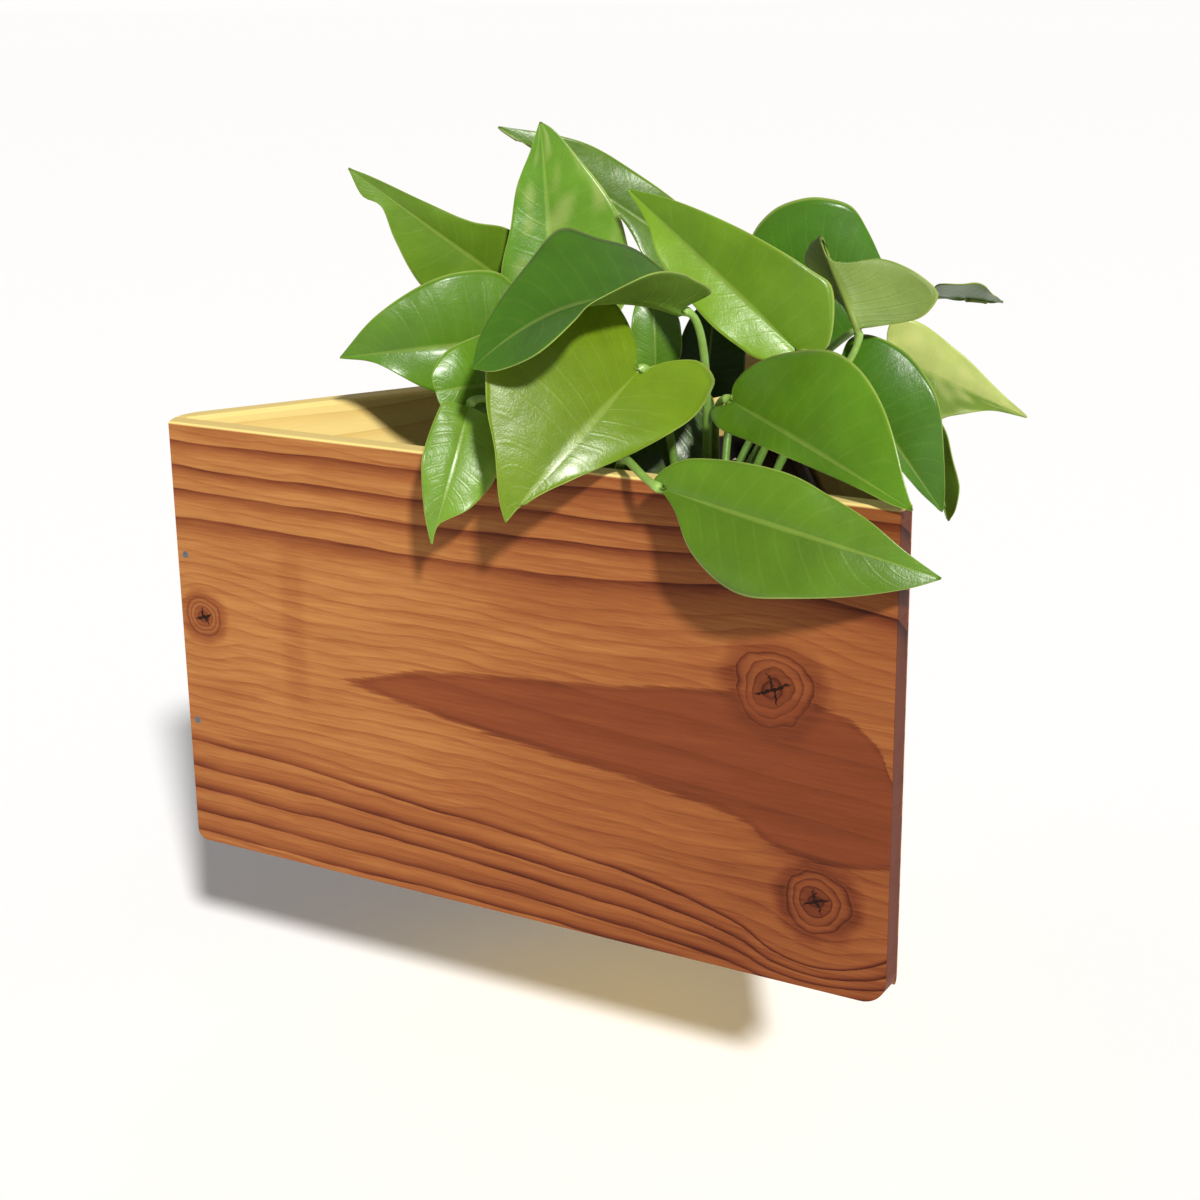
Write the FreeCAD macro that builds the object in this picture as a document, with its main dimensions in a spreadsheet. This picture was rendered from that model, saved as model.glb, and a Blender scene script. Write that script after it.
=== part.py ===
import FreeCAD, Part
import math
import os
from collections import namedtuple

from FreeCAD import Placement, Rotation, Vector

# A wall planter: three thin boards make an equilateral triangle in plan.  The back board lies on the
# wall, the front board leaves the wall at the left tip, and the side board brings it back at the right.
# Frame: millimetres, X to the right along the wall, Y into the wall, Z up.
# Origin: on the wall, midway between the two wall screws.

doc = FreeCAD.newDocument("wall_planter")

# ---------------------------------------------------------------- driving dimensions
SIZES = {
    "triangle_side": (340, "side of the outer triangle, measured to its sharp corners"),
    "board_height": (184, "height of the three boards"),
    "board_thickness": (10, "thickness of the three boards"),
    "tip_flat": (15, "width of the flat that blunts the left tip"),
    "tip_round": (20, "radius between that flat and the wall face"),
    "wall_corner_round": (4, "radius of the right corner at the wall"),
    "tip_foot_round": (4, "radius under the left tip"),
    "front_foot_round": (10, "radius at the foot of the front board's free end"),
    "outer_easing": (1, "radius along the outer top edges"),
    "inner_easing": (2, "radius along the inner top edges"),
    "screw_line_height": (158, "height of the wall screws above the bottom edge"),
    "screw_spacing": (150, "distance between the wall screws"),
    "screw_hole_diameter": (5, "clearance hole of a wall screw"),
    "screw_head_diameter": (10, "mouth of its countersink"),
    "screw_head_depth": (3, "depth of its countersink"),
    "cleat_section": (12, "width and height of the strips under the base board"),
    "cleat_lift": (2, "height of those strips above the bottom edge"),
    "base_thickness": (10, "thickness of the base board"),
    "drain_hole_diameter": (8, "holes through the base board"),
    "drain_circle_diameter": (80, "circle on which these holes lie"),
    "block_leg": (16, "side of the glue blocks in the two right corners"),
    "block_headroom": (34, "distance from the top of the glue blocks to the rim"),
    "liner_gap": (3, "gap between the boards and the liner"),
    "liner_seat_gap": (0.3, "running gap under the liner"),
    "liner_wall": (2, "thickness of the liner"),
    "liner_headroom": (38, "distance from the liner's top edge to the rim"),
    "liner_corner_gap": (7, "gap between the liner's cut corners and the glue blocks"),
    "soil_headroom": (10, "distance from the soil to the liner's top edge"),
    "brad_diameter": (1.6, "shank of the brads at the left tip"),
    "brad_head_diameter": (3, "head of the brads"),
    "brad_head_height": (1, "height of a brad's head"),
    "brad_length": (22, "length of a brad under its head"),
    "brad_inset": (4, "distance of the brads from the left end of the front face"),
    "lower_brad_height": (55, "height of the lower brad"),
    "upper_brad_height": (128, "height of the upper brad"),
    "blade_thickness": (1.2, "thickness of a leaf's blade"),
    "stalk_diameter": (3.4, "diameter of a leaf's stalk"),
    "stump_height": (44, "height of the cut stem above the soil"),
    "stump_diameter": (5, "diameter of the cut stem"),
    "stump_x": (-4, "place of the cut stem to the right of the middle"),
    "stump_forward": (64, "place of the cut stem in front of the triangle's middle"),
}

sheet = doc.addObject("Spreadsheet::Sheet", "Sizes")
for row, (alias, (value, meaning)) in enumerate(SIZES.items(), start=1):
    sheet.set(f"A{row}", alias)
    sheet.set(f"B{row}", str(value))
    sheet.set(f"C{row}", meaning)
    sheet.setAlias(f"B{row}", alias)
doc.recompute()


def size(alias):
    """The value of one driving dimension."""
    return float(sheet.get(alias))


def cell(words):
    """An expression in which the bare names of the driving dimensions point at the sheet."""
    for alias in sorted(SIZES, key=len, reverse=True):
        words = words.replace(alias, "@" + str(list(SIZES).index(alias)) + "@")
    for place, alias in enumerate(SIZES):
        words = words.replace(f"@{place}@", "Sizes." + alias)
    return words


# ---------------------------------------------------------------- the plan triangle
# Each side of the triangle is the wall side turned about the triangle's middle.
WALL, FRONT, SIDE = 0, 120, -120
INRADIUS = "(triangle_side / sqrt(12))"
CORNER_RADIUS = "(triangle_side / sqrt(3))"
BOTTOM = "(0 - screw_line_height)"
BASE_BOTTOM = f"({BOTTOM} + cleat_lift + cleat_section)"
LINER_BOTTOM = f"({BASE_BOTTOM} + base_thickness + liner_seat_gap)"
RIM = "(board_height - screw_line_height)"
LINER_TOP = f"({RIM} - liner_headroom)"
SOIL_TOP = f"({LINER_TOP} - soil_headroom)"


def bind(item, **expressions):
    """Tie properties of an object to the driving dimensions."""
    for name, words in expressions.items():
        item.setExpression(name.replace("__", "."), cell(words))
    return item


def triangle(name, inset, bottom, height, turned=False):
    """A triangular prism whose sides lie `inset` inside the outer triangle."""
    prism = doc.addObject("Part::Prism", name)
    prism.Polygon = 3
    prism.Placement = Placement(Vector(), Rotation(Vector(0, 0, 1), 90 if turned else -90))
    return bind(prism, Circumradius=f"{CORNER_RADIUS} - 2 * ({inset})", Height=height,
                Placement__Base__y=f"0 - {INRADIUS}", Placement__Base__z=bottom)


def band(name, turn, near, far, bottom, height, start="0 - triangle_side"):
    """A straight strip along one side of the triangle, from `near` to `far` inside that side.

    `start` is where it begins, measured along the side from the side's own right-hand corner."""
    strip = doc.addObject("Part::Box", name)
    strip.Placement = Placement(Vector(), Rotation(Vector(0, 0, 1), turn))
    along = f"(({start}) - triangle_side / 2)"
    across = f"({INRADIUS} - ({far}))"
    return bind(strip, Length="3 * triangle_side", Width=f"({far}) - ({near})", Height=height,
                Placement__Base__x=f"cos({turn}) * {along} - sin({turn}) * {across}",
                Placement__Base__y=f"0 - {INRADIUS} + sin({turn}) * {along} + cos({turn}) * {across}",
                Placement__Base__z=bottom)


def boolean(kind, name, base, tool):
    """Part::Cut or Part::Common of two objects."""
    result = doc.addObject("Part::" + kind, name)
    result.Base, result.Tool = base, tool
    return result


def rounded(name, base, *groups):
    """Round groups of edges: each group is a test on an edge and a radius."""
    doc.recompute()
    picked = []
    for test, radius in groups:
        found = [n for n, edge in enumerate(base.Shape.Edges, start=1) if test(edge)]
        if not found:
            raise RuntimeError(f"{name}: no edge to round")
        picked += [(n, radius, radius) for n in found]
    fillet = doc.addObject("Part::Fillet", name)
    fillet.Base, fillet.Edges = base, picked
    doc.recompute()
    return fillet


def middle(edge):
    """The point halfway along an edge."""
    return edge.valueAt((edge.FirstParameter + edge.LastParameter) / 2)


def upright(edge):
    """Whether an edge runs straight up."""
    ends = [vertex.Point for vertex in edge.Vertexes]
    return len(ends) == 2 and abs(ends[0].x - ends[1].x) + abs(ends[0].y - ends[1].y) < NEAR


NEAR = 0.01
side = size("triangle_side")
thick = size("board_thickness")
inradius = side / math.sqrt(12)
bottom_z = -size("screw_line_height")
rim_z = size("board_height") + bottom_z
SLOPE = math.radians(60)
ALONG_FRONT = Vector(math.cos(SLOPE), -math.sin(SLOPE), 0)
INTO_FRONT = Vector(math.sin(SLOPE), math.cos(SLOPE), 0)
LEFT_TIP = Vector(-side / 2, 0, 0)


def front_point(along, depth, z):
    """A point by its distance from the sharp left tip, its depth behind the front face, and height."""
    return LEFT_TIP + ALONG_FRONT * along + INTO_FRONT * depth + Vector(0, 0, z)


# ---------------------------------------------------------------- the outer form
# The sharp triangle loses its left tip to a flat, and its two corners at the wall are rounded.
sharp = triangle("sharp_form", "0", BOTTOM, "board_height")
tip_cut = band("tip_cut", SIDE, "(triangle_side - tip_flat) * sin(60)", "triangle_side", BOTTOM,
               "board_height")
blunt = boolean("Cut", "blunt_form", sharp, tip_cut)


def at_wall(x):
    """Test for the upright edge on the wall at x."""
    return lambda edge: upright(edge) and (middle(edge) - Vector(x, 0, middle(edge).z)).Length < NEAR


tip_x = size("tip_flat") - side / 2
form = rounded("outer_form", blunt, (at_wall(tip_x), size("tip_round")),
               (at_wall(side / 2), size("wall_corner_round")))
# ---------------------------------------------------------------- brads and wall screw holes
brad_turn = Rotation(Vector(0, 0, 1), INTO_FRONT)


def brad(name, height):
    """One brad, driven square to the front face into the end of the back board."""
    seat = front_point(size("tip_flat") + size("brad_inset"), 0, bottom_z + height)
    head = doc.addObject("Part::Cylinder", name + "_head")
    bind(head, Radius="brad_head_diameter / 2", Height="brad_head_height")
    head.Placement = Placement(seat, brad_turn)
    shank = doc.addObject("Part::Cylinder", name + "_shank")
    bind(shank, Radius="brad_diameter / 2", Height="brad_length")
    shank.Placement = Placement(seat, brad_turn)
    whole = doc.addObject("Part::MultiFuse", name)
    whole.Shapes = [head, shank]
    return whole


brads = doc.addObject("Part::Compound", "corner_brads")
brads.Links = [brad("lower_brad", size("lower_brad_height")),
               brad("upper_brad", size("upper_brad_height"))]


def screw_hole(name, sign):
    """A countersunk hole through the back board, its wide mouth on the inside."""
    hole = doc.addObject("Part::Cylinder", name + "_bore")
    hole.Placement = Placement(Vector(), Rotation(Vector(1, 0, 0), 90))
    bind(hole, Radius="screw_hole_diameter / 2", Height="2 * board_thickness",
         Placement__Base__x=f"{sign} * screw_spacing / 2", Placement__Base__y="board_thickness / 2")
    cone = doc.addObject("Part::Cone", name + "_countersink")
    cone.Placement = Placement(Vector(), Rotation(Vector(1, 0, 0), 90))
    bind(cone, Radius1="screw_hole_diameter / 2", Radius2="screw_head_diameter / 2",
         Height="screw_head_depth", Placement__Base__x=f"{sign} * screw_spacing / 2",
         Placement__Base__y="screw_head_depth - board_thickness")
    whole = doc.addObject("Part::MultiFuse", name)
    whole.Shapes = [hole, cone]
    return whole


screw_holes = doc.addObject("Part::Compound", "screw_holes")
screw_holes.Links = [screw_hole("left_screw_hole", -1), screw_hole("right_screw_hole", 1)]

# ---------------------------------------------------------------- the three boards
# The front board is a plank with a square free end; the side and back boards butt behind it.
front_zone = band("front_zone", FRONT, "0", "board_thickness", BOTTOM, "board_height")
side_zone = band("side_zone", SIDE, "0", "board_thickness", BOTTOM, "board_height")
wall_zone = band("wall_zone", WALL, "0", "board_thickness", BOTTOM, "board_height")
front_plank = band("front_plank", FRONT, "0", "board_thickness", BOTTOM, "board_height",
                   start="board_thickness / tan(60)")


def across_foot(at_tip):
    """Test for the front board's bottom edges that cross its thickness, at the tip or the free end."""
    def test(edge):
        spot = middle(edge) - LEFT_TIP
        between = NEAR < spot.dot(INTO_FRONT) < thick - NEAR
        return abs(middle(edge).z - bottom_z) < NEAR and between and (
            spot.dot(ALONG_FRONT) < side / 2) == at_tip

    return test


def behind_front_foot(edge):
    """Test for the side board's bottom edge that lies on the front board's inner face."""
    spot = middle(edge)
    return abs(spot.z - bottom_z) < NEAR and abs((spot - LEFT_TIP).dot(INTO_FRONT) - thick) < NEAR


def top_edge(turn, near, far):
    """Test for top edges whose middle lies between two depths behind one side of the triangle."""
    outward = Rotation(Vector(0, 0, 1), turn).multVec(Vector(0, 1, 0))
    centre = Vector(0, -inradius, 0)

    def test(edge):
        depth = inradius - (middle(edge) - centre).dot(outward)
        level = [abs(spot.z - rim_z) for spot in [middle(edge)] + [v.Point for v in edge.Vertexes]]
        return max(level) < NEAR and near - NEAR < depth < far + NEAR

    return test


def eased(name, blank, turn, reach=0):
    """Ease a board's inner top edge, then the top edges that lie up to `reach` behind its face."""
    inner = rounded(name + "_inside", blank, (top_edge(turn, thick, thick), size("inner_easing")))
    return rounded(name + "_eased", inner, (top_edge(turn, 0, reach), size("outer_easing")))


front_blank = boolean("Common", "front_blank", form, front_plank)
front_footed = rounded("front_footed", front_blank, (across_foot(False), size("front_foot_round")),
                       (across_foot(True), size("tip_foot_round")))
front_eased = eased("front", front_footed, FRONT, thick - size("inner_easing") - 2 * NEAR)
front_board = boolean("Cut", "front_board", front_eased, brads)

side_blank = boolean("Common", "side_blank", form, side_zone)
side_trimmed = boolean("Cut", "side_trimmed", side_blank, front_zone)
side_footed = rounded("side_footed", side_trimmed, (behind_front_foot, size("front_foot_round")))
side_board = eased("side", side_footed, SIDE)

back_blank = boolean("Common", "back_blank", form, wall_zone)
back_left = boolean("Cut", "back_left", back_blank, front_zone)
back_trimmed = boolean("Cut", "back_trimmed", back_left, side_zone)
back_eased = eased("back", back_trimmed, WALL)
back_drilled = boolean("Cut", "back_drilled", back_eased, screw_holes)
back_board = boolean("Cut", "back_board", back_drilled, brads)

# ---------------------------------------------------------------- base board, cleats and glue blocks
base_blank = triangle("base_blank", "board_thickness", BASE_BOTTOM, "base_thickness")
drain_holes = doc.addObject("Part::Compound", "drain_holes")
drains = []
for number in range(3):
    drain = doc.addObject("Part::Cylinder", f"drain_hole_{number + 1}")
    turn = 90 + 120 * number
    bind(drain, Radius="drain_hole_diameter / 2", Height="3 * base_thickness",
         Placement__Base__x=f"cos({turn}) * drain_circle_diameter / 2",
         Placement__Base__y=f"sin({turn}) * drain_circle_diameter / 2 - {INRADIUS}",
         Placement__Base__z=f"{BASE_BOTTOM} - base_thickness")
    drains.append(drain)
drain_holes.Links = drains
base_board = boolean("Cut", "base_board", base_blank, drain_holes)

CLEAT_BOTTOM = f"({BOTTOM} + cleat_lift)"
CLEAT_INSIDE = "board_thickness + cleat_section"
inside = triangle("cleat_space", "board_thickness", CLEAT_BOTTOM, "cleat_section")


def cleat(name, turn, *earlier):
    """A strip under the base board, along one side, cut back from the strips set before it."""
    strip = band(name + "_strip", turn, "board_thickness", CLEAT_INSIDE, CLEAT_BOTTOM, "cleat_section")
    piece = boolean("Common", name + "_blank" if earlier else name, inside, strip)
    for number, other in enumerate(earlier, start=1):
        last = number == len(earlier)
        space = band(f"{name}_stop_{number}", other, "0", CLEAT_INSIDE, CLEAT_BOTTOM, "cleat_section")
        piece = boolean("Cut", name if last else f"{name}_cut_{number}", piece, space)
    return piece


front_cleat = cleat("front_cleat", FRONT)
side_cleat = cleat("side_cleat", SIDE, FRONT)
back_cleat = cleat("back_cleat", WALL, FRONT, SIDE)

BLOCK_BOTTOM = f"({BASE_BOTTOM} + base_thickness)"
BLOCK_REACH = f"({CORNER_RADIUS} - 2 * board_thickness - block_leg / sqrt(3))"


def glue_block(name, heading):
    """A triangular block that fills one inner corner above the base board."""
    block = doc.addObject("Part::Prism", name)
    block.Polygon = 3
    block.Placement = Placement(Vector(), Rotation(Vector(0, 0, 1), -90))
    return bind(block, Circumradius="block_leg / sqrt(3)",
                Height=f"{RIM} - block_headroom - {BLOCK_BOTTOM}",
                Placement__Base__x=f"cos({heading}) * {BLOCK_REACH}",
                Placement__Base__y=f"sin({heading}) * {BLOCK_REACH} - {INRADIUS}",
                Placement__Base__z=BLOCK_BOTTOM)


front_corner_block = glue_block("front_corner_block", -90)
wall_corner_block = glue_block("wall_corner_block", 30)

# ---------------------------------------------------------------- liner and soil
# The liner is a triangular tub with cut corners, so that it clears the glue blocks.
LINER_INSET = "(board_thickness + liner_gap)"
CORNER_CUT = f"({CORNER_RADIUS} - 2 * board_thickness - block_leg * sin(60) - liner_corner_gap)"


def tub(name, shrink, bottom, height):
    """The solid form of the liner, made smaller all round by `shrink`."""
    body = triangle(name + "_triangle", f"{LINER_INSET} + {shrink}", bottom, height)
    corners = triangle(name + "_corners", "0", bottom, height, turned=True)
    bind(corners, Circumradius=f"2 * ({CORNER_CUT} - {shrink})")
    return boolean("Common", name, body, corners)


liner_outside = tub("liner_outside", "0", LINER_BOTTOM, f"{LINER_TOP} - {LINER_BOTTOM}")
liner_hollow = tub("liner_hollow", "liner_wall", f"{LINER_BOTTOM} + liner_wall",
                   f"{LINER_TOP} - {LINER_BOTTOM}")
liner = boolean("Cut", "liner", liner_outside, liner_hollow)
potting_soil = tub("potting_soil", "liner_wall", f"{LINER_BOTTOM} + liner_wall",
                   f"{SOIL_TOP} - {LINER_BOTTOM} - liner_wall")

# ---------------------------------------------------------------- the plant
# A leaf is a flat pattern folded along its midrib, arched along it and cupped across it.
# base and tip are measured from the middle of the box's mouth, at rim height; roll turns the blade
# about the line from base to tip, from face up; each fold gives the rise of one half in degrees, at
# the base and at the tip.  left and right list the pattern's edges: distance along, distance out.
# root is where the stalk leaves the soil; lift is the share of its reach over which it rises
# straight, and bend is the distance in which it turns into the midrib.
Leaf = namedtuple("Leaf", "name base tip roll fold_left fold_right arch cup left right root lift bend")

# Every length in this list counts units of which the triangle's side holds this many, so that the
# plant grows with the box.  Here a unit is one millimetre.
UNITS_PER_SIDE = 340

LEAVES = [
    Leaf("leaf_upper_left", base=(-9, 57, 40), tip=(-83, 73, 98), roll=93,
         fold_left=(12, 12), fold_right=(12, 12), arch=4, cup=3,
         left=[(1, 19), (21, 25), (45, 22), (64, 13), (76, 5), (85, 6)],
         right=[(12, 16), (27, 19), (43, 12), (65, 7), (85, 3)],
         root=(14, 9), lift=0.4, bend=14),
    Leaf("leaf_upright", base=(-14, 26, 32), tip=(-11, 41, 115), roll=18,
         fold_left=(12, 12), fold_right=(12, 12), arch=-3, cup=3,
         left=[(-2, 13), (14, 21), (26, 21), (42, 16), (59, 12), (73, 5)],
         right=[(-4, 17), (14, 33), (38, 32), (51, 27), (62, 20), (79, 7)],
         root=(10, -3), lift=0.4, bend=14),
    Leaf("leaf_back_high", base=(60, 26, 54), tip=(-17, 67, 112), roll=71,
         fold_left=(10, 10), fold_right=(10, 10), arch=0, cup=2,
         left=[(1, 13), (20, 15), (39, 5), (64, 0), (90, 0)],
         right=[(3, 12), (25, 15), (59, 16), (81, 11)],
         root=(40, -1), lift=0.4, bend=14),
    Leaf("leaf_left", base=(-29, 28, 29), tip=(-98, 56, 24), roll=80,
         fold_left=(10, 10), fold_right=(10, 10), arch=5, cup=5,
         left=[(9, 18), (26, 22), (42, 16), (60, 4)],
         right=[(-2, 16), (6, 28), (22, 30), (39, 26), (59, 15)],
         root=(0, 0), lift=0.4, bend=14),
    Leaf("leaf_curled", base=(-29, -95, 56), tip=(-105, -80, 41), roll=27,
         fold_left=(75, 0), fold_right=(5, 0), arch=15, cup=0,
         left=[(-10, 17), (-2, 21), (15, 22), (35, 13), (48, 23), (61, 23), (73, 11)],
         right=[(-12, 20), (-6, 26), (2, 36), (17, 37), (29, 42), (46, 30), (61, 19), (73, 9)],
         root=(-7, -78), lift=0.5, bend=14),
    Leaf("leaf_lime", base=(45, -63, 30), tip=(6, 0, 90), roll=68,
         fold_left=(14, 14), fold_right=(14, 14), arch=3, cup=2,
         left=[(7, 12), (18, 15), (36, 16), (63, 12), (78, 5)],
         right=[(-8, 10), (5, 27), (17, 27), (48, 20), (76, 10)],
         root=(34, -40), lift=0.4, bend=14),
    Leaf("leaf_front_heart", base=(-44, -90, 35), tip=(-101, -94, -12), roll=59,
         fold_left=(8, 8), fold_right=(8, 8), arch=5, cup=3,
         left=[(-10, 5), (-20, 14), (-20, 22), (-15, 25), (0, 26), (23, 19), (45, 9), (63, 1)],
         right=[(-8, 7), (-14, 23), (-8, 38), (11, 47), (31, 46), (47, 34), (58, 20), (69, 8)],
         root=(-13, -70), lift=0.4, bend=14),
    Leaf("leaf_small_left", base=(-67, -34, 25), tip=(-99, -36, 25), roll=78,
         fold_left=(5, 5), fold_right=(5, 5), arch=4, cup=6,
         left=[(5, 23), (19, 18), (30, 7)],
         right=[(-4, 19), (9, 19), (24, 15), (32, 7)],
         root=(-12, -20), lift=0.4, bend=14),
    Leaf("leaf_hanging_left", base=(-90, -46, 20), tip=(-112, -56, -27), roll=40,
         fold_left=(10, 10), fold_right=(10, 10), arch=4, cup=3,
         left=[(4, 13), (18, 15), (25, 16), (37, 10), (45, 1)],
         right=[(1, 9), (6, 11), (19, 12), (28, 11), (42, 6)],
         root=(-24, -32), lift=0.4, bend=14),
    Leaf("leaf_small_inner", base=(20, 2, 11), tip=(22, 8, 47), roll=6,
         fold_left=(8, 8), fold_right=(8, 8), arch=3, cup=3,
         left=[(7, 10), (21, 10), (32, 7)],
         right=[(8, 10), (22, 11), (31, 7)],
         root=(24, -14), lift=0.4, bend=14),
    Leaf("leaf_dark_inner", base=(39, -6, 2), tip=(48, 0, 42), roll=-21,
         fold_left=(8, 8), fold_right=(8, 8), arch=3, cup=3,
         left=[(5, 10), (21, 13), (36, 8)],
         right=[(6, 14), (22, 15), (35, 9)],
         root=(33, -18), lift=0.4, bend=14),
    Leaf("leaf_round_back", base=(91, 19, 36), tip=(135, -9, 42), roll=-81,
         fold_left=(8, 8), fold_right=(8, 8), arch=4, cup=4,
         left=[(-9, 18), (-6, 30), (4, 39), (16, 42), (26, 41), (37, 36), (43, 25), (48, 11)],
         right=[(5, 16), (24, 22), (43, 12)],
         root=(54, 2), lift=0.4, bend=14),
    Leaf("leaf_folded_pale", base=(73, -65, 36), tip=(62, -54, 73), roll=-101,
         fold_left=(5, 5), fold_right=(60, 60), arch=2, cup=3,
         left=[(-2, 9), (-5, 24), (-1, 33), (4, 34), (14, 28), (22, 19), (24, 10), (22, 0)],
         right=[(9, 3), (17, 10), (31, 19), (38, 10)],
         root=(46, -38), lift=0.4, bend=14),
    Leaf("leaf_sliver_right", base=(137, -28, 40), tip=(171, -38, 35), roll=-154,
         fold_left=(5, 5), fold_right=(5, 5), arch=0, cup=1,
         left=[(-1, 17), (8, 21), (19, 18)],
         right=[(6, 4), (18, 0), (29, 0)],
         root=(50, -8), lift=0.4, bend=14),
    Leaf("leaf_cream", base=(117, -26, 16), tip=(178, -49, -14), roll=-88,
         fold_left=(15, 15), fold_right=(15, 15), arch=3, cup=2,
         left=[(-4, 14), (7, 19), (29, 14), (53, 6)],
         right=[(13, 20), (28, 21), (37, 13), (53, 4)],
         root=(46, -18), lift=0.4, bend=14),
    Leaf("leaf_right", base=(72, -53, 21), tip=(102, -86, -38), roll=-75,
         fold_left=(10, 10), fold_right=(10, 10), arch=6, cup=4,
         left=[(-5, 10), (-1, 18), (12, 25), (27, 26), (39, 23), (53, 15), (67, 6)],
         right=[(3, 4), (21, 4), (41, 4), (60, 3)],
         root=(42, -28), lift=0.4, bend=14),
    Leaf("leaf_right_centre", base=(-15, -107, 24), tip=(-3, -197, 1), roll=-61,
         fold_left=(10, 10), fold_right=(18, 18), arch=9, cup=4,
         left=[(-3, 5), (0, 12), (10, 21), (24, 28), (39, 33), (52, 32), (66, 26), (77, 18), (88, 6)],
         right=[(-7, 7), (6, 11), (25, 9), (51, 6), (76, 3), (87, 2)],
         root=(14, -54), lift=0.4, bend=14),
    Leaf("leaf_front_low", base=(-59, -132, 2), tip=(-2, -212, -19), roll=-71,
         fold_left=(10, 10), fold_right=(10, 10), arch=7, cup=5,
         left=[(-5, 1), (-2, 7), (6, 13), (24, 17), (43, 18), (58, 15), (73, 11), (87, 5)],
         right=[(3, 3), (8, 7), (17, 17), (29, 24), (41, 26), (56, 22), (75, 15), (91, 7)],
         root=(-40, -67), lift=0.85, bend=16),
    Leaf("leaf_curl_right", base=(110, -54, 9), tip=(117, -72, -47), roll=-98,
         fold_left=(5, 5), fold_right=(5, 5), arch=0, cup=0,
         left=[(13, 7), (26, 12), (41, 11), (48, 10), (55, 6)],
         right=[(20, 0), (34, 0), (47, 0), (54, 0)],
         root=(58, -26), lift=0.65, bend=14),
    Leaf("leaf_shaded_front", base=(-4, -62, 22), tip=(-42, -59, -9), roll=64,
         fold_left=(8, 8), fold_right=(8, 8), arch=3, cup=3,
         left=[(-2, 11), (9, 20), (19, 24), (35, 17), (44, 8)],
         right=[(10, 4), (31, 8)],
         root=(18, -42), lift=0.4, bend=14),
]

mouth = Vector(0, -inradius, rim_z)
soil_z = rim_z - size("liner_headroom") - size("soil_headroom")
leaf_unit = size("triangle_side") / UNITS_PER_SIDE


def in_millimetres(leaf):
    """The same leaf with every length and place in millimetres."""
    longer = {name: [(along * leaf_unit, out * leaf_unit) for along, out in getattr(leaf, name)]
              for name in ("left", "right")}
    moved = {name: tuple(part * leaf_unit for part in getattr(leaf, name))
             for name in ("base", "tip", "root")}
    return leaf._replace(arch=leaf.arch * leaf_unit, cup=leaf.cup * leaf_unit, bend=leaf.bend * leaf_unit,
                         **longer, **moved)


def leaf_frame(leaf):
    """The blade's base, length and three directions: along, left and up."""
    base = mouth + Vector(*leaf.base)
    reach = Vector(*leaf.tip) - Vector(*leaf.base)
    along = Vector(reach).normalize()
    level = Vector(0, 0, 1) - along * along.z
    level.normalize()
    roll = math.radians(leaf.roll)
    up = level * math.cos(roll) + level.cross(along) * math.sin(roll)
    return base, reach.Length, along, up.cross(along), up


def blade_point(leaf, frame, x, out, hand):
    """The place in space of one point of the flat pattern; hand is 1 on the left, -1 on the right."""
    base, length, along, left, up = frame
    share = min(max(x / length, 0), 1)
    at_base, at_tip = leaf.fold_left if hand > 0 else leaf.fold_right
    fold = math.radians(at_base + (at_tip - at_base) * share)
    bow = leaf.arch * 4 * x / length * ((1 - x / length) if x > 0 else 1)
    widest = max([MIN_HALF_WIDTH * leaf_unit] + [o for _, o in (leaf.left if hand > 0 else leaf.right)])
    rise = bow + out * math.sin(fold) - leaf.cup * (out / widest) ** 2
    return base + along * x + left * (hand * out * math.cos(fold)) + up * rise


MIN_HALF_WIDTH = 20
SHARE_OF_ROUND = 0.35


BLADE_ROWS, STALK_ROWS, COLUMNS = 10, 8, 2


def edge_at(edge, length, share, neck):
    """The point of the pattern's edge at a share of the way from base to tip."""
    points = [(0, neck)] + list(edge) + [(length, neck / 4)]
    spline = Part.BSplineCurve()
    spline.interpolate([Vector(x, out, 0) for x, out in points])
    return spline.value(spline.FirstParameter + (spline.LastParameter - spline.FirstParameter) * share)


def blade_rings(leaf, frame):
    """Rings round the blade from base to tip: over its face from left to right, and back below."""
    length = frame[1]
    neck = size("stalk_diameter") * SHARE_OF_ROUND
    drop = frame[4] * -size("blade_thickness")
    rings = []
    for row in range(BLADE_ROWS + 1):
        share = row / BLADE_ROWS
        rib = length * share
        over = []
        for hand, edge in ((1, leaf.left), (-1, leaf.right)):
            rim = edge_at(edge, length, share, neck)
            steps = range(COLUMNS, -1, -1) if hand > 0 else range(1, COLUMNS + 1)
            for step in steps:
                part = step / COLUMNS
                x = rib + (rim.x - rib) * part
                over.append(blade_point(leaf, frame, x, rim.y * part, hand))
        rings.append(over + [spot + drop for spot in reversed(over)])
    return rings


def stalk_rings(leaf, frame):
    """Rings round the stalk from the soil to the blade, along a curve that runs into the midrib."""
    base, _, along, left, up = frame
    foot = Vector(leaf.root[0], leaf.root[1] - inradius, soil_z)
    rise = Vector(0, 0, (base - foot).Length * leaf.lift)
    poles = [foot, foot + rise, base - along * leaf.bend, base]
    curve = Part.BezierCurve()
    curve.setPoles(poles)
    count = 2 * COLUMNS + 1
    rings = []
    for row in range(STALK_ROWS):
        share = 1 - (row + 1) / STALK_ROWS
        line = Vector(*curve.tangent(share)[0]) if share else Vector(0, 0, 1)
        turn = Rotation(along, line)
        left, up, along = turn.multVec(left), turn.multVec(up), line
        ring = []
        for step in range(2 * count):
            angle = math.pi * (step + 0.5) / count
            ring.append(curve.value(share) + (left * math.cos(angle) + up * math.sin(angle))
                        * (size("stalk_diameter") / 2))
        rings.insert(0, ring)
    return rings


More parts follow.
